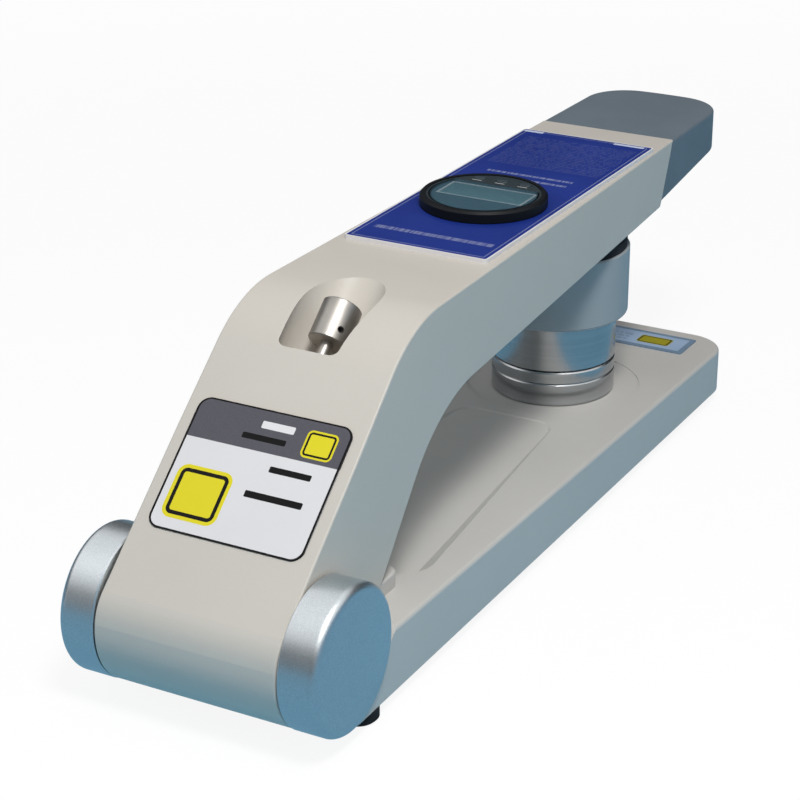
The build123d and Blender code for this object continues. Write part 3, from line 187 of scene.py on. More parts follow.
class Board:
    """A node tree, with one method that adds a node and short names for the usual ones."""

    def __init__(self, tree):
        self.tree = tree

    def fill(self, socket, value):
        """Gives a socket its fixed value, or links a wire to it."""
        if isinstance(value, Wire):
            self.tree.links.new(value.socket, socket)
        else:
            socket.default_value = value

    def node(self, kind, settings=None, inputs=(), output=0):
        """A new node of that kind, with its settings made first and its sockets filled after."""
        node = self.tree.nodes.new(kind)
        for name, value in (settings or {}).items():
            setattr(node, name, value)
        pairs = inputs.items() if isinstance(inputs, dict) else enumerate(inputs)
        for key, value in pairs:
            self.fill(node.inputs[key], value)
        return Wire(self, node.outputs[output])

    def spot(self):
        """Position on the object, in metres."""
        return self.node("ShaderNodeTexCoord", output="Object")

    def axes(self):
        """The three coordinates of the position on the object."""
        first = self.node("ShaderNodeSeparateXYZ", inputs=(self.spot(),))
        return [Wire(self, out) for out in first.socket.node.outputs]

    def joined(self, x, y, z=0.0):
        return self.node("ShaderNodeCombineXYZ", inputs=(x, y, z))

    def cloud(self, scale, detail, vector=None):
        """Soft noise around one half, with that many patches to the unit."""
        inputs = {"Vector": vector or self.spot(), "Scale": scale, "Detail": detail}
        return self.node("ShaderNodeTexNoise", inputs=inputs)

    def blend(self, share, first, second):
        """Colour mix: first where share is 0, second where it is 1."""
        inputs = {MIX_FACTOR: share, MIX_FIRST: first, MIX_SECOND: second}
        return self.node("ShaderNodeMix", {"data_type": "RGBA"}, inputs, MIX_RESULT)

    def shades(self, share, colour, first, second):
        """Mix of one colour in two shades."""
        return self.blend(share, srgb(colour, first), srgb(colour, second))

    def fade(self, value, low, high, to_low=0.0, to_high=1.0):
        """Value scaled from one range to another and kept inside it."""
        return self.node("ShaderNodeMapRange", inputs=(value, low, high, to_low, to_high))

    def spread(self, noise, low, high):
        """Soft noise scaled to a range."""
        return self.fade(noise, NOISE_LOW, NOISE_HIGH, low, high)

    def inside(self, distance):
        """One inside an outline and zero outside."""
        return self.fade(distance, -PRINT_BLUR, PRINT_BLUR, 1.0, 0.0)

    def stroke(self, distance, width):
        """One on a line of the given width along an outline."""
        half = width / 2
        return self.fade(abs(distance), half - PRINT_BLUR, half + PRINT_BLUR, 1.0, 0.0)

    def ray(self, kind):
        """One for light rays of that kind, such as Camera or Diffuse."""
        return self.node("ShaderNodeLightPath", output=f"Is {kind} Ray")

    def seen_directly(self):
        """One for rays that come straight from the camera, a mirror or glass."""
        return self.ray("Camera").most(self.ray("Glossy")).most(self.ray("Transmission"))

    def mix(self, share, first, second):
        """Mix of two shaders: first where share is 0, second where it is 1."""
        return self.node("ShaderNodeMixShader", inputs=(share, first, second))

    def show(self, surface):
        """Ends the tree in a shader."""
        output = next(n for n in self.tree.nodes if n.bl_idname.startswith("ShaderNodeOutput"))
        self.fill(output.inputs["Surface"], surface)


class Finish(Board):
    """A material with one Principled shader, and short ways to feed it."""

    def __init__(self, name, **fixed):
        self.material = bpy.data.materials.new(name)
        self.material.use_nodes = True
        super().__init__(self.material.node_tree)
        self.shader = self.tree.nodes["Principled BSDF"]
        self.set(**fixed)

    def set(self, **values):
        """Fixed values or wires for the shader's sockets; an underscore stands for a space."""
        for name, value in values.items():
            self.fill(self.shader.inputs[name.replace("_", " ")], value)
        return self

    def relief(self, height, depth, strength):
        """Bump of a given depth in metres."""
        inputs = {"Strength": strength, "Distance": depth, "Height": height}
        return self.set(Normal=self.node("ShaderNodeBump", inputs=inputs))


def srgb(colour, factor=1.0):
    """Linear colour with alpha from display values, which a factor darkens or lightens first."""
    shaded = [min(1.0, c * factor) for c in colour]
    linear = [c / 12.92 if c <= 0.04045 else ((c + 0.055) / 1.055) ** 2.4 for c in shaded]
    return (*linear, 1.0)


def distance_from(centre, u, v):
    """Distance from a point in the plane of two coordinates."""
    return ((u - centre[0]) ** 2 + (v - centre[1]) ** 2).root()


def frame_distance(u, v, centre, half, corner):
    """Signed distance from a rounded rectangle's outline, negative inside."""
    past_u = abs(u - centre[0]) - (half[0] - corner)
    past_v = abs(v - centre[1]) - (half[1] - corner)
    outside = (past_u.most(0.0) ** 2 + past_v.most(0.0) ** 2).root()
    return outside + past_u.most(past_v).least(0.0) - corner


def plan(node):
    """Centre and half sizes of a node's box, seen from above."""
    low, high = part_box(node)
    centre = ((low.x + high.x) / 2, (low.y + high.y) / 2)
    return centre, ((high.x - low.x) / 2, (high.y - low.y) / 2)


def wear(finish, *nodes):
    """Puts one finish on one or more of the frame's nodes."""
    for name in nodes:
        mesh = NODES[name].data
        mesh.materials.clear()
        mesh.materials.append(finish.material)


# ---- finishes -----------------------------------------------------------------------------------
def cast_paint(name, colour):
    """Satin paint on a casting: fine orange peel, faint clouds, small flecks and a haze."""
    paint = Finish(name, Specular_IOR_Level=0.4)
    tone = paint.shades(paint.cloud(14.0, 3.0), colour, 0.975, 1.02)
    fleck = paint.fade(paint.cloud(3600.0, 1.0), 0.60, 0.72, 0.0, 0.22)
    haze = paint.fade(paint.cloud(38.0, 4.0), 0.35, 0.7)
    peel = paint.cloud(1500.0, 2.0)
    paint.set(Base_Color=paint.blend(fleck, tone, srgb(colour, 0.84)), Roughness=0.40 + 0.10 * haze)
    return paint.relief(peel, 0.035 * MM, 0.4)


def turned_metal(name, colour, roughness, centre, axis, lines, depth=0.004 * MM, streak=0.0):
    """Metal turned on a lathe about one of the frame's axes: fine tool lines, bands and stains."""
    metal = Finish(name, Metallic=1.0, Anisotropic=streak)
    x, y, z = metal.axes()
    if axis == "X":
        along, radius = x, distance_from((centre.y, centre.z), y, z)
    else:
        along, radius = z, distance_from((centre.x, centre.y), x, y)
    travel = metal.joined(radius * lines, along * lines)
    tool = metal.cloud(1.0, 3.0, travel)
    band = metal.cloud(0.16, 2.0, travel)
    stain = metal.cloud(26.0, 3.0)
    tone = metal.shades(band, colour, 0.93, 1.05)
    stained = metal.fade(stain, 0.5, 0.75, 0.0, 0.4)
    worn = metal.fade(tool + 0.5 * stain, 0.5, 1.0, roughness * 0.8, roughness * 1.25)
    metal.set(Base_Color=metal.blend(stained, tone, srgb(colour, 0.86)), Roughness=worn)
    return metal.relief(tool, depth, 0.5)


def blasted_metal(name, colour, roughness):
    """Bead-blasted, clear-anodised aluminium: a fine sparkling grain with soft clouds."""
    metal = Finish(name, Metallic=1.0)
    grain = metal.cloud(2600.0, 3.0)
    tone = metal.shades(metal.cloud(22.0, 3.0), colour, 0.94, 1.04)
    tone = metal.blend(metal.fade(grain, 0.3, 0.5, 0.45, 0.0), tone, srgb(colour, 0.82))
    tone = metal.blend(metal.fade(grain, 0.58, 0.72, 0.0, 0.5), tone, srgb(colour, 1.16))
    metal.set(Base_Color=tone, Roughness=metal.spread(grain, roughness * 0.85, roughness * 1.15))
    return metal.relief(grain, 0.02 * MM, 0.6)


def machined_steel(name, colour, roughness):
    """Plain machined steel or bronze with short brush marks and a little tarnish."""
    metal = Finish(name, Metallic=1.0)
    x, y, z = metal.axes()
    brush = metal.cloud(1.0, 2.0, metal.joined(x * 900.0, y * 6000.0, z * 6000.0))
    tone = metal.shades(metal.cloud(120.0, 4.0), colour, 0.85, 1.08)
    metal.set(Base_Color=tone, Roughness=metal.spread(brush, roughness * 0.85, roughness * 1.2))
    return metal.relief(brush, 0.005 * MM, 0.4)


def moulded(name, colour, roughness, gloss=0.35):
    """Moulded plastic with a fine spark-eroded grain."""
    plastic = Finish(name, Specular_IOR_Level=gloss)
    grain = plastic.cloud(2400.0, 3.0)
    tone = plastic.shades(plastic.cloud(40.0, 3.0), colour, 0.93, 1.07)
    tone = plastic.blend(plastic.fade(grain, 0.58, 0.72, 0.0, 0.35), tone, srgb(colour, 1.22))
    plastic.set(Base_Color=tone, Roughness=plastic.spread(grain, roughness * 0.9, roughness * 1.12))
    return plastic.relief(grain, 0.03 * MM, 0.45)


def foot_rubber(name, colour):
    """Dull rubber with a dusty bloom and small pits."""
    rubber = Finish(name, Specular_IOR_Level=0.3)
    pits = rubber.cloud(1900.0, 4.0)
    bloom = rubber.fade(rubber.cloud(90.0, 4.0), 0.45, 0.7, 0.0, 0.5)
    rubber.set(Base_Color=rubber.shades(bloom, colour, 1.0, 1.9), Roughness=0.74 + 0.14 * pits)
    return rubber.relief(pits, 0.06 * MM, 0.5)


def ruled_print(finish, u, v, place, pitch, dash):
    """Rows of short broken strokes inside a rectangle, where a maker would print notes."""
    from_u, to_u, from_v, to_v = place
    centre = ((from_u + to_u) / 2, (from_v + to_v) / 2)
    half = ((to_u - from_u) / 2, (to_v - from_v) / 2)
    area = finish.inside(frame_distance(u, v, centre, half, PRINT_BLUR))
    print_end, gap_start = 0.55 * pitch, 0.62 * pitch
    row = 1.0 - finish.fade((v - from_v).wrap(pitch), print_end, gap_start)
    # each row reads the noise at another place, so that no two rows break alike
    row_step = 7.3
    row_place = ((v - from_v) / pitch).whole() * row_step
    strokes = finish.cloud(1.0, 1.0, finish.joined(u / dash, row_place))
    gap_below, stroke_above = 0.43, 0.49
    return area * row * finish.fade(strokes, gap_below, stroke_above)


def outlined_field(finish, face, field, fill, line, inset, width):
    """A plain field in one colour, with a line in another inside its edge."""
    face = finish.blend(finish.inside(field), face, fill)
    return finish.blend(finish.stroke(field + inset, width), face, line)


def printed_panel(name, colours):
    """Screen-printed film: deep blue field, bare white edge, a fine inner line and ruled places."""
    film = Finish(name, Specular_IOR_Level=0.25)
    low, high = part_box("panel")
    white = srgb(colours.print_white)
    x, y, _ = film.axes()
    corner, white_edge, line_inset, line_width = 1.5 * MM, 0.7 * MM, 2.4 * MM, 0.26 * MM
    edge = frame_distance(x, y, *plan("panel"), corner)
    field = film.inside(edge + white_edge)
    ink = film.cloud(30.0, 3.0)
    blue = film.shades(ink, colours.panel_blue, 0.92, 1.08)
    face = film.blend(field, srgb(colours.plate_white), blue)
    face = film.blend(film.stroke(edge + line_inset, line_width) * 0.5, face, white)
    # left, right, near and far side, pitch of the rows, length of a stroke, strength of the print
    for *place, pitch, dash, weight in (
        (-25.7 * MM, 26.4 * MM, low.y + 13.8 * MM, low.y + 17.2 * MM, 6.2 * MM, 0.8 * MM, 0.27),
        (0.0, 20.3 * MM, DIAL.y + 34.8 * MM, DIAL.y + 37.0 * MM, 4.0 * MM, 0.8 * MM, 0.3),
        (-19 * MM, 20.6 * MM, DIAL.y + 40.8 * MM, DIAL.y + 43.0 * MM, 4.0 * MM, 0.8 * MM, 0.3),
        (-25 * MM, 27 * MM, DIAL.y + 53.5 * MM, high.y - 9.5 * MM, 2.1 * MM, 0.9 * MM, 0.06),
    ):
        face = film.blend(ruled_print(film, x, y, place, pitch, dash) * weight, face, white)
    # two bare tabs along the far edge
    for at_x, reach in ((-25.6 * MM, 4.6 * MM), (20.4 * MM, 7.2 * MM)):
        tab = frame_distance(x, y, (at_x, high.y - 2.6 * MM), (reach, 1.1 * MM), 0.3 * MM)
        face = film.blend(film.inside(tab) * 0.9, face, white)
    film.set(Base_Color=face, Roughness=film.spread(ink, 0.38, 0.48))
    return film.relief(film.cloud(700.0, 2.0) + 0.6 * field, 0.02 * MM, 0.35)


def slope_label(name, colours):
    """Printed plate: white field under a grey header band, plain yellow fields, a black outline."""
    plate = Finish(name, Specular_IOR_Level=0.15)
    yellow, black = srgb(colours.field_yellow), srgb(colours.print_black)
    low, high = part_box("slope_plate")
    x, y, z = plate.axes()
    up, bottom, top = (
        (at_y - PIVOT.y) * cos(SLOPE) + (at_z - PIVOT.z) * sin(SLOPE)
        for at_y, at_z in ((y, z), (low.y, low.z), (high.y, high.z))
    )
    centre, half = (0.0, (top + bottom) / 2), (high.x, (top - bottom) / 2)
    plate_corner, outline, band_height = 5.0 * MM, 0.9 * MM, 16.6 * MM
    edge = frame_distance(x, up, centre, half, plate_corner)
    band_line = top - band_height
    sheen = plate.cloud(24.0, 3.0)
    grain = plate.cloud(1300.0, 2.0)
    paper = plate.shades(sheen, colours.plate_white, 0.96, 1.0)
    band = plate.shades(grain, colours.band_grey, 0.94, 1.08)
    face = plate.blend(plate.fade(up, band_line - PRINT_BLUR, band_line + PRINT_BLUR), paper, band)
    # centre, half sizes, corner radius and width of the line
    for centre, reach, corner, line in (
        ((21.0 * MM, top - 9.6 * MM), (6.3 * MM, 5.4 * MM), 2.2 * MM, 0.8 * MM),
        ((-17.0 * MM, bottom + 15.6 * MM), (11.4 * MM, 10.6 * MM), 4.0 * MM, 1.5 * MM),
    ):
        field = frame_distance(x, up, centre, reach, corner)
        face = outlined_field(plate, face, field, yellow, black, 1.45 * line, line)
    # plain bars where wording would stand: left, right, middle height, thickness, colour
    for from_x, to_x, at_v, height, colour in (
        (-4.0 * MM, 9.5 * MM, top - 6.2 * MM, 2.9 * MM, srgb(colours.plate_white)),
        (-10.0 * MM, 8.0 * MM, top - 11.6 * MM, 2.3 * MM, black),
        (6.0 * MM, 23.0 * MM, band_line - 5.6 * MM, 2.4 * MM, black),
        (0.5 * MM, 24.0 * MM, band_line - 16.4 * MM, 2.6 * MM, black),
    ):
        centre, half = ((from_x + to_x) / 2, at_v), ((to_x - from_x) / 2, height / 2)
        bar = frame_distance(x, up, centre, half, 0.5 * MM)
        face = plate.blend(plate.inside(bar), face, colour)
    face = plate.blend(plate.stroke(edge + outline / 2, outline), face, black)
    plate.set(Base_Color=face, Roughness=plate.spread(sheen, 0.36, 0.46))
    return plate.relief(grain, 0.012 * MM, 0.3)


def end_label(name, colours):
    """Small plate on the base's far end: pale field, blue-grey border and one dull yellow field."""
    plate = Finish(name, Specular_IOR_Level=0.35)
    border_width = 2.4 * MM
    border, black = srgb(colours.border_blue), srgb(colours.print_black)
    dull_yellow = srgb(colours.field_yellow, 0.72)
    x, y, _ = plate.axes()
    centre, half = plan("end_plate")
    edge = frame_distance(x, y, centre, half, 1.0 * MM)
    mottle = plate.cloud(60.0, 3.0)
    paper = plate.shades(mottle, colours.end_white, 0.94, 1.04)
    face = plate.blend(1.0 - plate.inside(edge + border_width), paper, border)
    field = frame_distance(x, y, (21.0 * MM, centre[1]), (8.0 * MM, 4.6 * MM), 1.6 * MM)
    face = outlined_field(plate, face, field, dull_yellow, black, 0.9 * MM, 0.6 * MM)
    place = (-24 * MM, 9 * MM, centre[1] - 5.2 * MM, centre[1] + 5.2 * MM)
    rows = ruled_print(plate, x, y, place, pitch=3.4 * MM, dash=1.3 * MM)
    face = plate.blend(rows * 0.6, face, border)
    plate.set(Base_Color=face, Roughness=plate.spread(mottle, 0.36, 0.48))
    return plate.relief(plate.cloud(900.0, 2.0), 0.015 * MM, 0.3)


def display_glass(name, colours):
    """Grey-green liquid crystal panel with painted shade, lighter at its near edge and darker at
    its far edge, in a thin printed frame that is weaker at its near side.
    """
    panel = Finish(name, Specular_IOR_Level=0.3)
    low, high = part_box("display")
    teal = colours.display_teal
    x, y, _ = panel.axes()
    edge = frame_distance(x, y, *plan("display"), 0.3 * MM)
    grain = panel.cloud(1400.0, 2.0)
    # painted shade: the panel is lighter at its near edge and darker towards its far edge
    painted_shade_cell = panel.shades(panel.fade(y, low.y, high.y), teal, 1.12, 0.9)
    painted_shade_cell = panel.blend(grain * 0.2, painted_shade_cell, srgb(teal, 1.25))
    near = panel.fade(y, low.y + 0.9 * MM, low.y + 1.4 * MM, 0.75, 1.0)
    line = panel.stroke(edge + 0.55 * MM, 1.0 * MM) * near
    face = panel.blend(line, painted_shade_cell, srgb(colours.frame_grey))
    panel.set(Base_Color=face, Roughness=panel.spread(grain, 0.26, 0.34))
    return panel.relief(grain, 0.004 * MM, 0.2)


def window_lens(name, colours):
    """Tinted acrylic window over the display, dark and solid at its rim."""
    lens = Finish(name, Specular_IOR_Level=0.3)
    haze = lens.cloud(60.0, 3.0)
    tint = lens.shades(haze, colours.window_teal, 0.9, 1.1)
    x, y, _ = lens.axes()
    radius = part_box("display_window")[1].x - DIAL.x
    rim = lens.fade(distance_from(DIAL, x, y), radius - 1.5 * MM, radius - 0.5 * MM)
    lens.set(Base_Color=lens.blend(rim, tint, srgb(colours.bezel_black)))
    lens.set(Alpha=lens.spread(haze, 0.30, 0.38).most(rim))
    return lens.set(Roughness=lens.spread(haze, 0.06, 0.11))


def case_face(name, colours):
    """Indicator case: slate moulding, tinted under the window, with pale marks by the buttons."""
    case = Finish(name, Specular_IOR_Level=0.3)
    x, y, z = case.axes()
    grain = case.cloud(2600.0, 3.0)
    tone = case.shades(case.cloud(60.0, 3.0), colours.case_slate, 0.9, 1.12)
    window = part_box("display_window")[1]
    on_top = z > DIAL.z
    near_window = distance_from(DIAL, x, y) < window.x - 1.0 * MM
    tone = case.blend(on_top * (y < window.y) * near_window, tone, srgb(colours.window_teal, 0.86))
    for button in ("button_left", "button_middle", "button_right"):
        spot = middle(button)
        place, reach = (spot.x, spot.y - 2.75 * MM), (2.2 * MM, 0.28 * MM)
        mark = case.inside(frame_distance(x, y, place, reach, 0.2 * MM))
        tone = case.blend(mark * on_top * 0.45, tone, srgb(colours.frame_grey))
    case.set(Base_Color=tone, Roughness=case.spread(grain, 0.40, 0.5))
    return case.relief(grain, 0.015 * MM, 0.4)


# ---- modelling helpers --------------------------------------------------------------------------
def take(obj):
    """Selects one object and makes it active."""
    bpy.ops.object.select_all(action="DESELECT")
    obj.select_set(True)
    bpy.context.view_layer.objects.active = obj


def rod(name, radius, depth, centre, sides):
    """A cylinder along Z to start a piece from."""
    bpy.ops.mesh.primitive_cylinder_add(vertices=sides, radius=radius, depth=depth, location=centre)
    piece = bpy.context.object
    piece.name = name
    return piece


def carve(piece, tool):
    """Cuts one piece by another and removes the tool."""
    take(piece)
    cut = piece.modifiers.new("cut", "BOOLEAN")
    cut.operation = "DIFFERENCE"
    cut.solver = "EXACT"
    cut.object = tool
    bpy.ops.object.modifier_apply(modifier=cut.name)
    bpy.data.objects.remove(tool)


def merge(name, pieces):
    """Joins pieces into one object at the origin."""
    bpy.context.view_layer.update()
    for piece in pieces:
        piece.data.transform(piece.matrix_world)
        piece.matrix_world = Matrix.Identity(4)
    take(pieces[0])
    for piece in pieces[1:]:
        piece.select_set(True)
    bpy.ops.object.join()
    pieces[0].name = name
    pieces[0].data.name = name
    return pieces[0]


def cap_screw(name, head_radius, head_height, shank_radius, shank_length, socket_radius):
    """A socket-head screw along Z: its head below the origin, its shank above it."""
    head = rod(name, head_radius, head_height, (0, 0, -head_height / 2), sides=48)
    bpy.ops.object.mode_set(mode="EDIT")
    bpy.ops.mesh.select_all(action="SELECT")
    bpy.ops.mesh.bevel(offset=head_radius * EDGE_CHAMFER, segments=2, affect="EDGES")
    bpy.ops.object.mode_set(mode="OBJECT")
    # the tool is centred on the head's face, so half of it cuts
    tool_length = 2 * SOCKET_DEPTH * head_height
    carve(head, rod("socket", socket_radius, tool_length, (0, 0, -head_height), sides=6))
    shank = rod("shank", shank_radius, shank_length, (0, 0, shank_length / 2), sides=32)
    return merge(name, [head, shank])


def screw_set(name, node, spots, body, finish, **sizes):
    """Copies one socket screw to its places as the frame's node has them."""
    first = cap_screw(name, **sizes)
    copies = []
    for spot in spots:
        copy = first.copy()
        copy.data = first.data.copy()
        bpy.context.collection.objects.link(copy)
        copy.location = spot
        copies.append(copy)
    bpy.data.objects.remove(first)
    piece = merge(name, copies)
    take(piece)
    bpy.ops.object.shade_smooth_by_angle(angle=SMOOTH_ANGLE)
    piece.data.materials.clear()
    piece.data.materials.append(finish.material)
    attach(piece, body)
    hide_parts(node)


def clamp_screw_spots():
    """Places of the lower clamp's screws on their circle, from the side that faces the hinge."""
    radius = CLAMP_CIRCLE_RADIUS
    turns = [radians(-90 + 360 / CLAMP_SCREWS * step) for step in range(CLAMP_SCREWS)]
    return [(radius * cos(turn), COLUMN.y + radius * sin(turn)) for turn in turns]


def from_pivot(*spots):
    """Places given in millimetres from the hinge's middle."""
    return [(x * MM, PIVOT.y + y * MM) for x, y in spots]


# ---- properties ---------------------------------------------------------------------------------
def colour_property(name, description, default):
    """A colour as display values between 0 and 1."""
    return FloatVectorProperty(
        name=name,
        description=description,
        default=default,
        subtype="COLOR_GAMMA",
        size=3,
        min=0.0,
        max=1.0,
    )


class TesterColours(bpy.types.PropertyGroup):
    """Colours of the finishes"""

    paint_grey: colour_property("Arm paint", "Warm light grey", (0.772, 0.752, 0.722))
    base_grey: colour_property("Base paint", "Light grey", (0.765, 0.755, 0.74))
    # painted shade: the housing's grey is darker and bluer than the arm's paint, standing in for
    # the arm's shade over it
    housing_shaded_grey: colour_property("Housing paint", "Cool grey", (0.60, 0.63, 0.65))
    grip_grey: colour_property("Grip", "Blue-grey of the hand grip", (0.40, 0.445, 0.485))
    hub_silver: colour_property("Hubs", "Anodised aluminium", (0.81, 0.835, 0.85))
    column_steel: colour_property("Clamps", "Turned stainless steel", (0.72, 0.73, 0.74))
    knob_steel: colour_property("Knob", "Steel knob and catch rod", (0.66, 0.645, 0.625))
    inner_steel: colour_property("Inner steel", "Shaft, spring and weight", (0.62, 0.62, 0.62))
    bronze: colour_property("Bronze", "Bushes and bell crank", (0.66, 0.50, 0.32))
    screw_black: colour_property("Screws", "Blackened steel", (0.22, 0.22, 0.23))
    panel_blue: colour_property("Panel", "Blue field of the top panel", (0.10, 0.185, 0.50))
    plate_white: colour_property("Plate white", "Bare white", (0.87, 0.865, 0.875))
    end_white: colour_property("End plate", "Pale field of the end plate", (0.62, 0.71, 0.82))
    print_white: colour_property("White print", "Lines on the top panel", (0.80, 0.83, 0.92))
    print_black: colour_property("Black print", "Lines on two plates", (0.02, 0.02, 0.025))
    band_grey: colour_property("Header band", "Sloping plate's band", (0.33, 0.325, 0.355))
    field_yellow: colour_property("Yellow field", "Plain fields", (0.86, 0.81, 0.17))
    border_blue: colour_property("Pale border", "Border of the end plate", (0.45, 0.54, 0.63))
    bezel_black: colour_property("Bezel", "Black indicator bezel", (0.06, 0.07, 0.085))
    case_slate: colour_property("Indicator case", "Dark indicator face", (0.15, 0.19, 0.21))
    button_grey: colour_property("Buttons", "Indicator buttons", (0.19, 0.235, 0.26))
    display_teal: colour_property("Display", "Liquid crystal panel", (0.44, 0.60, 0.62))
    window_teal: colour_property("Window", "Tinted window", (0.31, 0.44, 0.505))
    frame_grey: colour_property("Display frame", "Printed frame and marks", WHITE)
    # on the neck seal this black is painted shade: a dark piece put in the shaded gap between
    # housing and arm
    rubber_and_shade_black: colour_property("Rubber", "Feet and neck seal", (0.10, 0.10, 0.11))


class TesterStudio(bpy.types.PropertyGroup):
    """Camera and light"""

    lens: FloatProperty(
        name="Lens",
        description="Focal length on a 36 mm sensor",
        default=104.27,
        unit="CAMERA",
    )
    azimuth: FloatProperty(
        name="Azimuth",
        description="Camera's turn to the right of the hinge end",
        default=radians(28.497),
        subtype="ANGLE",
    )
    elevation: FloatProperty(
        name="Elevation",
        description="Camera's height as an angle",
        default=radians(23.265),
        subtype="ANGLE",
    )
    stand_off: FloatVectorProperty(
        name="Camera place",
        description="Camera position from the hinge's middle",
        default=(0.3989, -0.6054, 0.3979),
        subtype="XYZ",
        unit="LENGTH",
    )
    bench_colour: colour_property("Bench", "Light thrown back by the bench", (0.50, 0.74, 0.86))
    floor_size: FloatProperty(
        name="Floor",
        description="Side of the floor",
        default=12.0,
        unit="LENGTH",
    )
    key_power: FloatProperty(
        name="Key light",
        description="Power of the softbox overhead",
        default=8.3,
        unit="POWER",
    )
    side_power: FloatProperty(
        name="Side light",
        description="Power of the weak left light",
        default=0.9,
        unit="POWER",
    )
    ambient: FloatProperty(
        name="Ambient",
        description="Strength of the room's light",
        default=0.38,
        min=0.0,
    )


# ---- operators ----------------------------------------------------------------------------------
class TESTER_OT_castings(bpy.types.Operator):
    """Paints the arm, the base, the clamp housing and the underside cover; the housing's darker
    paint is painted shade
    """

    bl_idname = "tester.castings"
    bl_label = "Castings"

    def execute(self, context):
        colours = context.scene.tester_colours
        wear(cast_paint("arm_paint", colours.paint_grey), "arm")
        wear(cast_paint("base_paint", colours.base_grey), "base", "underside_cover")
        # painted shade: a darker, bluer paint on the clamp housing stands in for the shade under
        # the arm
        wear(cast_paint("housing_shaded_paint", colours.housing_shaded_grey), "clamp_housing")
        return {"FINISHED"}


class TESTER_OT_grip(bpy.types.Operator):
    """Finishes the hand grip"""

    bl_idname = "tester.grip"
    bl_label = "Hand grip"

    def execute(self, context):
        colours = context.scene.tester_colours
        wear(moulded("grip_moulding", colours.grip_grey, roughness=0.48), "nose_grip")
        return {"FINISHED"}


class TESTER_OT_hubs(bpy.types.Operator):
    """Finishes the two hubs and the hinge's inner pieces"""

    bl_idname = "tester.hubs"
    bl_label = "Hubs and hinge"

    def execute(self, context):
        colours = context.scene.tester_colours
        hinge = {"centre": PIVOT, "axis": "X"}
        aluminium = blasted_metal("hub_aluminium", colours.hub_silver, roughness=0.36)
        steel = turned_metal("hinge_steel", colours.inner_steel, 0.25, lines=5000.0, **hinge)
        bronze = turned_metal("bush_bronze", colours.bronze, 0.3, lines=4000.0, **hinge)
        wear(aluminium, "hub_left", "hub_right")
        wear(steel, "pivot_shaft", "detent_cam")
        wear(bronze, "pivot_bushes")
        return {"FINISHED"}


class TESTER_OT_column(bpy.types.Operator):
    """Finishes the clamps, the ring, the weight and its pin"""

    bl_idname = "tester.column"
    bl_label = "Clamps and weight"

    def execute(self, context):
        colours = context.scene.tester_colours
        column = {"centre": COLUMN, "axis": "Z"}
        stainless = turned_metal(
            "clamp_stainless",
            colours.column_steel,
            roughness=0.22,
            lines=3500.0,
            depth=0.0015 * MM,
            streak=0.6,
            **column,
        )
        steel = turned_metal("weight_steel", colours.inner_steel, 0.28, lines=4500.0, **column)
        wear(stainless, "lower_clamp", "reducing_ring", "upper_clamp")
        wear(steel, "load_mass", "load_pin")
        return {"FINISHED"}


class TESTER_OT_catch(bpy.types.Operator):
    """Finishes the catch knob, its rod, screw and bush"""

    bl_idname = "tester.catch"
    bl_label = "Catch"

    def execute(self, context):
        colours = context.scene.tester_colours
        knob = machined_steel("catch_stainless", colours.knob_steel, roughness=0.42)
        wear(knob, "catch_knob", "catch_rod")
        wear(machined_steel("grub_screw_steel", colours.screw_black, roughness=0.4), "knob_screw")
        wear(machined_steel("guide_bronze", colours.bronze, roughness=0.32), "rod_bush")
        return {"FINISHED"}


class TESTER_OT_spring(bpy.types.Operator):
    """Makes the catch spring as a copy of the frame's spring that rides on the lever"""

    bl_idname = "tester.spring"
    bl_label = "Catch spring"

    def execute(self, context):
        colours = context.scene.tester_colours
        steel = machined_steel("spring_steel", colours.inner_steel, roughness=0.3)
        spring = bpy.data.objects.new("coil_spring", NODES["catch_spring"].data.copy())
        context.collection.objects.link(spring)
        spring.data.materials.clear()
        spring.data.materials.append(steel.material)
        along = Vector(PULL["axis"])
        reach = [along.dot(v.co) for v in spring.data.vertices]
        length = max(reach) - min(reach)
        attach(spring, "lever")
        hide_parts("catch_spring")
        shortest = (length - PULL["range_m"][1]) / length
        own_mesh(spring)
        return {"FINISHED"}


class TESTER_OT_crank(bpy.types.Operator):
    """Finishes the bell crank, its pin and bracket, and the indicator's spindle"""

    bl_idname = "tester.crank"
    bl_label = "Bell crank"

    def execute(self, context):
        colours = context.scene.tester_colours
        steel = machined_steel("pin_steel", colours.inner_steel, roughness=0.22)
        wear(machined_steel("crank_bronze", colours.bronze, roughness=0.32), "bell_crank")
        wear(steel, "crank_pin", "spindle", "contact_point")
        wear(blasted_metal("bracket_aluminium", colours.hub_silver, 0.4), "crank_bracket")
        return {"FINISHED"}


class TESTER_OT_indicator(bpy.types.Operator):
    """Finishes the indicator's case, bezel, window, display and buttons"""

    bl_idname = "tester.indicator"
    bl_label = "Indicator"

    def execute(self, context):
        colours = context.scene.tester_colours
        bezel = moulded("bezel_moulding", colours.bezel_black, roughness=0.46, gloss=0.15)
        buttons = moulded("button_moulding", colours.button_grey, roughness=0.45)
        wear(bezel, "indicator_bezel")
        wear(case_face("case_moulding", colours), "indicator_case")
        wear(moulded("back_moulding", colours.case_slate, roughness=0.5), "indicator_back")
        wear(window_lens("window_acrylic", colours), "display_window")
        wear(display_glass("display_panel", colours), "display")
        wear(buttons, "button_left", "button_middle", "button_right")
        return {"FINISHED"}


class TESTER_OT_plates(bpy.types.Operator):
    """Prints the top panel, the sloping plate and the end plate"""

    bl_idname = "tester.plates"
    bl_label = "Plates"

    def execute(self, context):
        colours = context.scene.tester_colours
        wear(printed_panel("panel_film", colours), "panel")
        wear(slope_label("slope_plate_print", colours), "slope_plate")
        wear(end_label("end_plate_print", colours), "end_plate")
        return {"FINISHED"}


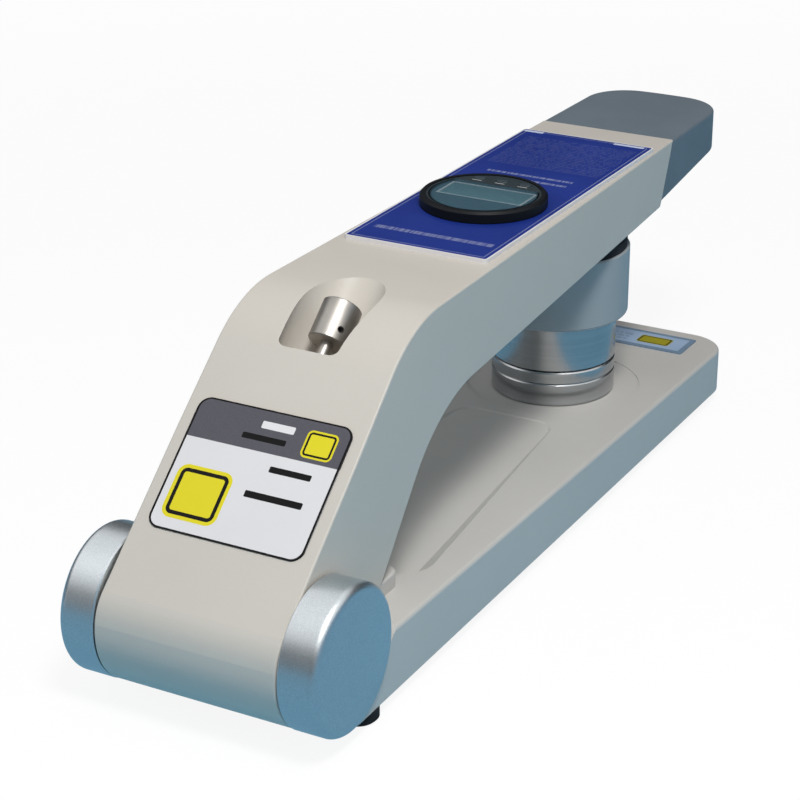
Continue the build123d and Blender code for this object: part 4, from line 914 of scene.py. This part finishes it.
class TESTER_OT_feet(bpy.types.Operator):
    """Finishes the rubber feet and the seal round the clamp housing's neck, whose black is painted
    shade in the gap under the arm
    """

    bl_idname = "tester.feet"
    bl_label = "Feet"

    def execute(self, context):
        colours = context.scene.tester_colours
        # the black neck seal is painted shade, a dark piece filling the shaded gap under the arm;
        # the feet are real black rubber
        wear(foot_rubber("foot_rubber", colours.rubber_and_shade_black), "rubber_feet", "neck_seal")
        return {"FINISHED"}


class TESTER_OT_screws(bpy.types.Operator):
    """Models the socket screws of the feet, the lower clamp and the hand grip"""

    bl_idname = "tester.screws"
    bl_label = "Screws"

    def execute(self, context):
        colours = context.scene.tester_colours
        black = machined_steel("blackened_screw", colours.screw_black, roughness=0.42)
        feet = from_pivot((-44, 16.5), (44, 16.5), (-38, 338), (38, 338))
        # node, body, places; head radius, head height and shank radius in millimetres
        for node, body, spots, *sizes in (
            ("foot_screws", "stand", feet, 4.4, 2.6, 2.5),
            ("clamp_screws", "stand", clamp_screw_spots(), 4.4, 3.0, 2.5),
            ("nose_screws", "lever", from_pivot((-9, 338), (9, 338)), 3.8, 2.4, 2.0),
        ):
            head_radius, head_height, shank_radius = (size * MM for size in sizes)
            low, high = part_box(node)
            seat = low.z + head_height
            screw_set(
                "socket_" + node,
                node,
                [(x, y, seat) for x, y in spots],
                body,
                black,
                head_radius=head_radius,
                head_height=head_height,
                shank_radius=shank_radius,
                shank_length=high.z - seat,
                socket_radius=head_radius * SOCKET_RADIUS,
            )
        return {"FINISHED"}


class TESTER_OT_studio(bpy.types.Operator):
    """Builds the floor, the lights, the world and the camera"""

    bl_idname = "tester.studio"
    bl_label = "Studio"

    def execute(self, context):
        studio = context.scene.tester_studio
        self.build_floor(studio)
        self.build_world(context, studio)
        self.build_cards()
        self.build_lights(context, studio)
        self.build_camera(context, studio)
        context.scene.view_settings.view_transform = "Standard"
        return {"FINISHED"}

    def build_floor(self, studio):
        """A white floor that keeps the shadow; the light it throws back is that of a blue bench."""
        bpy.ops.mesh.primitive_plane_add(size=studio.floor_size)
        floor = bpy.context.object
        floor.name = "studio_floor"
        matt = Finish("floor_white", Roughness=0.9, Specular_IOR_Level=0.0)
        white = srgb(WHITE)
        matt.set(Base_Color=matt.blend(matt.ray("Diffuse"), white, srgb(studio.bench_colour)))
        length = {"operation": "LENGTH"}
        radius = matt.node("ShaderNodeVectorMath", length, (matt.spot(),), output="Value")
        radii = (SHADED_FLOOR_RADIUS, WHITE_FLOOR_RADIUS)
        share = matt.seen_directly() * matt.fade(radius, *radii, SHADED_FLOOR_GLOW, 1.0)
        glow = matt.node("ShaderNodeEmission", inputs={"Color": white})
        matt.show(matt.mix(share, Wire(matt, matt.shader.outputs[0]), glow))
        floor.data.materials.append(matt.material)

    def build_world(self, context, studio):
        """Even light from the room, which looks plain white to the camera, a mirror or glass."""
        world = bpy.data.worlds.new("studio_world")
        context.scene.world = world
        world.use_nodes = True
        board = Board(world.node_tree)
        board.tree.nodes.remove(board.tree.nodes["Background"])
        room, white = (
            board.node("ShaderNodeBackground", inputs={"Color": srgb(colour), "Strength": strength})
            for colour, strength in ((ROOM_COLOUR, studio.ambient), (WHITE, 1.0))
        )
        board.show(board.mix(board.seen_directly(), room, white))

    def build_cards(self):
        """Grey and blue cards round the set, seen only in reflections, so metal has contrast."""
        for name, place, tilt, turn, size, colour in CARDS:
            bpy.ops.mesh.primitive_plane_add(
                size=1.0, location=place, rotation=(radians(tilt), 0.0, radians(turn))
            )
            card = bpy.context.object
            card.name = name
            card.scale = (*size, 1.0)
            material = bpy.data.materials.new(name)
            material.use_nodes = True
            board = Board(material.node_tree)
            board.tree.nodes.remove(board.tree.nodes["Principled BSDF"])
            board.show(board.node("ShaderNodeEmission", inputs={"Color": srgb(colour)}))
            card.data.materials.append(material)
            card.visible_camera = False
            card.visible_diffuse = False
            card.visible_transmission = False
            card.visible_shadow = False

    def build_lights(self, context, studio):
        """A softbox overhead and to the right, and a weak light from the left."""
        # name, place in metres, side in metres, power, colour
        for name, place, size, power, colour in (
            ("key_light", (0.35, -0.46, 1.0), 0.26, studio.key_power, (1.0, 0.985, 0.955)),
            ("side_light", (-1.1, -0.5, 0.9), 0.8, studio.side_power, (1.0, 0.98, 0.95)),
        ):
            lamp = bpy.data.lights.new(name, "AREA")
            lamp.shape = "SQUARE"
            lamp.size = size
            lamp.energy = power
            lamp.color = colour
            light = bpy.data.objects.new(name, lamp)
            context.scene.collection.objects.link(light)
            light.location = place
            ahead = LIGHT_TARGET - Vector(place)
            light.rotation_euler = ahead.to_track_quat("-Z", "Y").to_euler()

    def build_camera(self, context, studio):
        """The camera, placed from the hinge's middle."""
        data = bpy.data.cameras.new("studio_camera")
        data.sensor_width = SENSOR_WIDTH
        data.lens = studio.lens
        camera = bpy.data.objects.new("studio_camera", data)
        context.scene.collection.objects.link(camera)
        camera.location = PIVOT + Vector(studio.stand_off)
        turn, rise = studio.azimuth, studio.elevation
        ahead = Vector((-sin(turn) * cos(rise), cos(turn) * cos(rise), -sin(rise)))
        camera.rotation_euler = ahead.to_track_quat("-Z", "Y").to_euler()
        context.scene.camera = camera


OPERATORS = (
    TESTER_OT_castings,
    TESTER_OT_grip,
    TESTER_OT_hubs,
    TESTER_OT_column,
    TESTER_OT_catch,
    TESTER_OT_spring,
    TESTER_OT_crank,
    TESTER_OT_indicator,
    TESTER_OT_plates,
    TESTER_OT_feet,
    TESTER_OT_screws,
    TESTER_OT_studio,
)


class TESTER_PT_sidebar(bpy.types.Panel):
    """Lists the steps and the values that shape them"""

    bl_label = "Bench tester"
    bl_idname = "TESTER_PT_sidebar"
    bl_space_type = "VIEW_3D"
    bl_region_type = "UI"
    bl_category = "Tester"

    def draw(self, context):
        steps = self.layout.column(align=True)
        for operator in OPERATORS:
            steps.operator(operator.bl_idname)
        for group in (context.scene.tester_colours, context.scene.tester_studio):
            box = self.layout.box()
            for key in group.bl_rna.properties.keys():
                if key not in ("rna_type", "name"):
                    box.prop(group, key)


CLASSES = (TesterColours, TesterStudio, *OPERATORS, TESTER_PT_sidebar)


def register():
    for cls in CLASSES:
        bpy.utils.register_class(cls)
    bpy.types.Scene.tester_colours = PointerProperty(type=TesterColours)
    bpy.types.Scene.tester_studio = PointerProperty(type=TesterStudio)


def unregister():
    del bpy.types.Scene.tester_studio
    del bpy.types.Scene.tester_colours
    for cls in reversed(CLASSES):
        bpy.utils.unregister_class(cls)


def main():
    """Dresses the frame in order."""
    register()
    for operator in OPERATORS:
        group, name = operator.bl_idname.split(".")
        getattr(getattr(bpy.ops, group), name)()


if __name__ == "__main__":
    main()
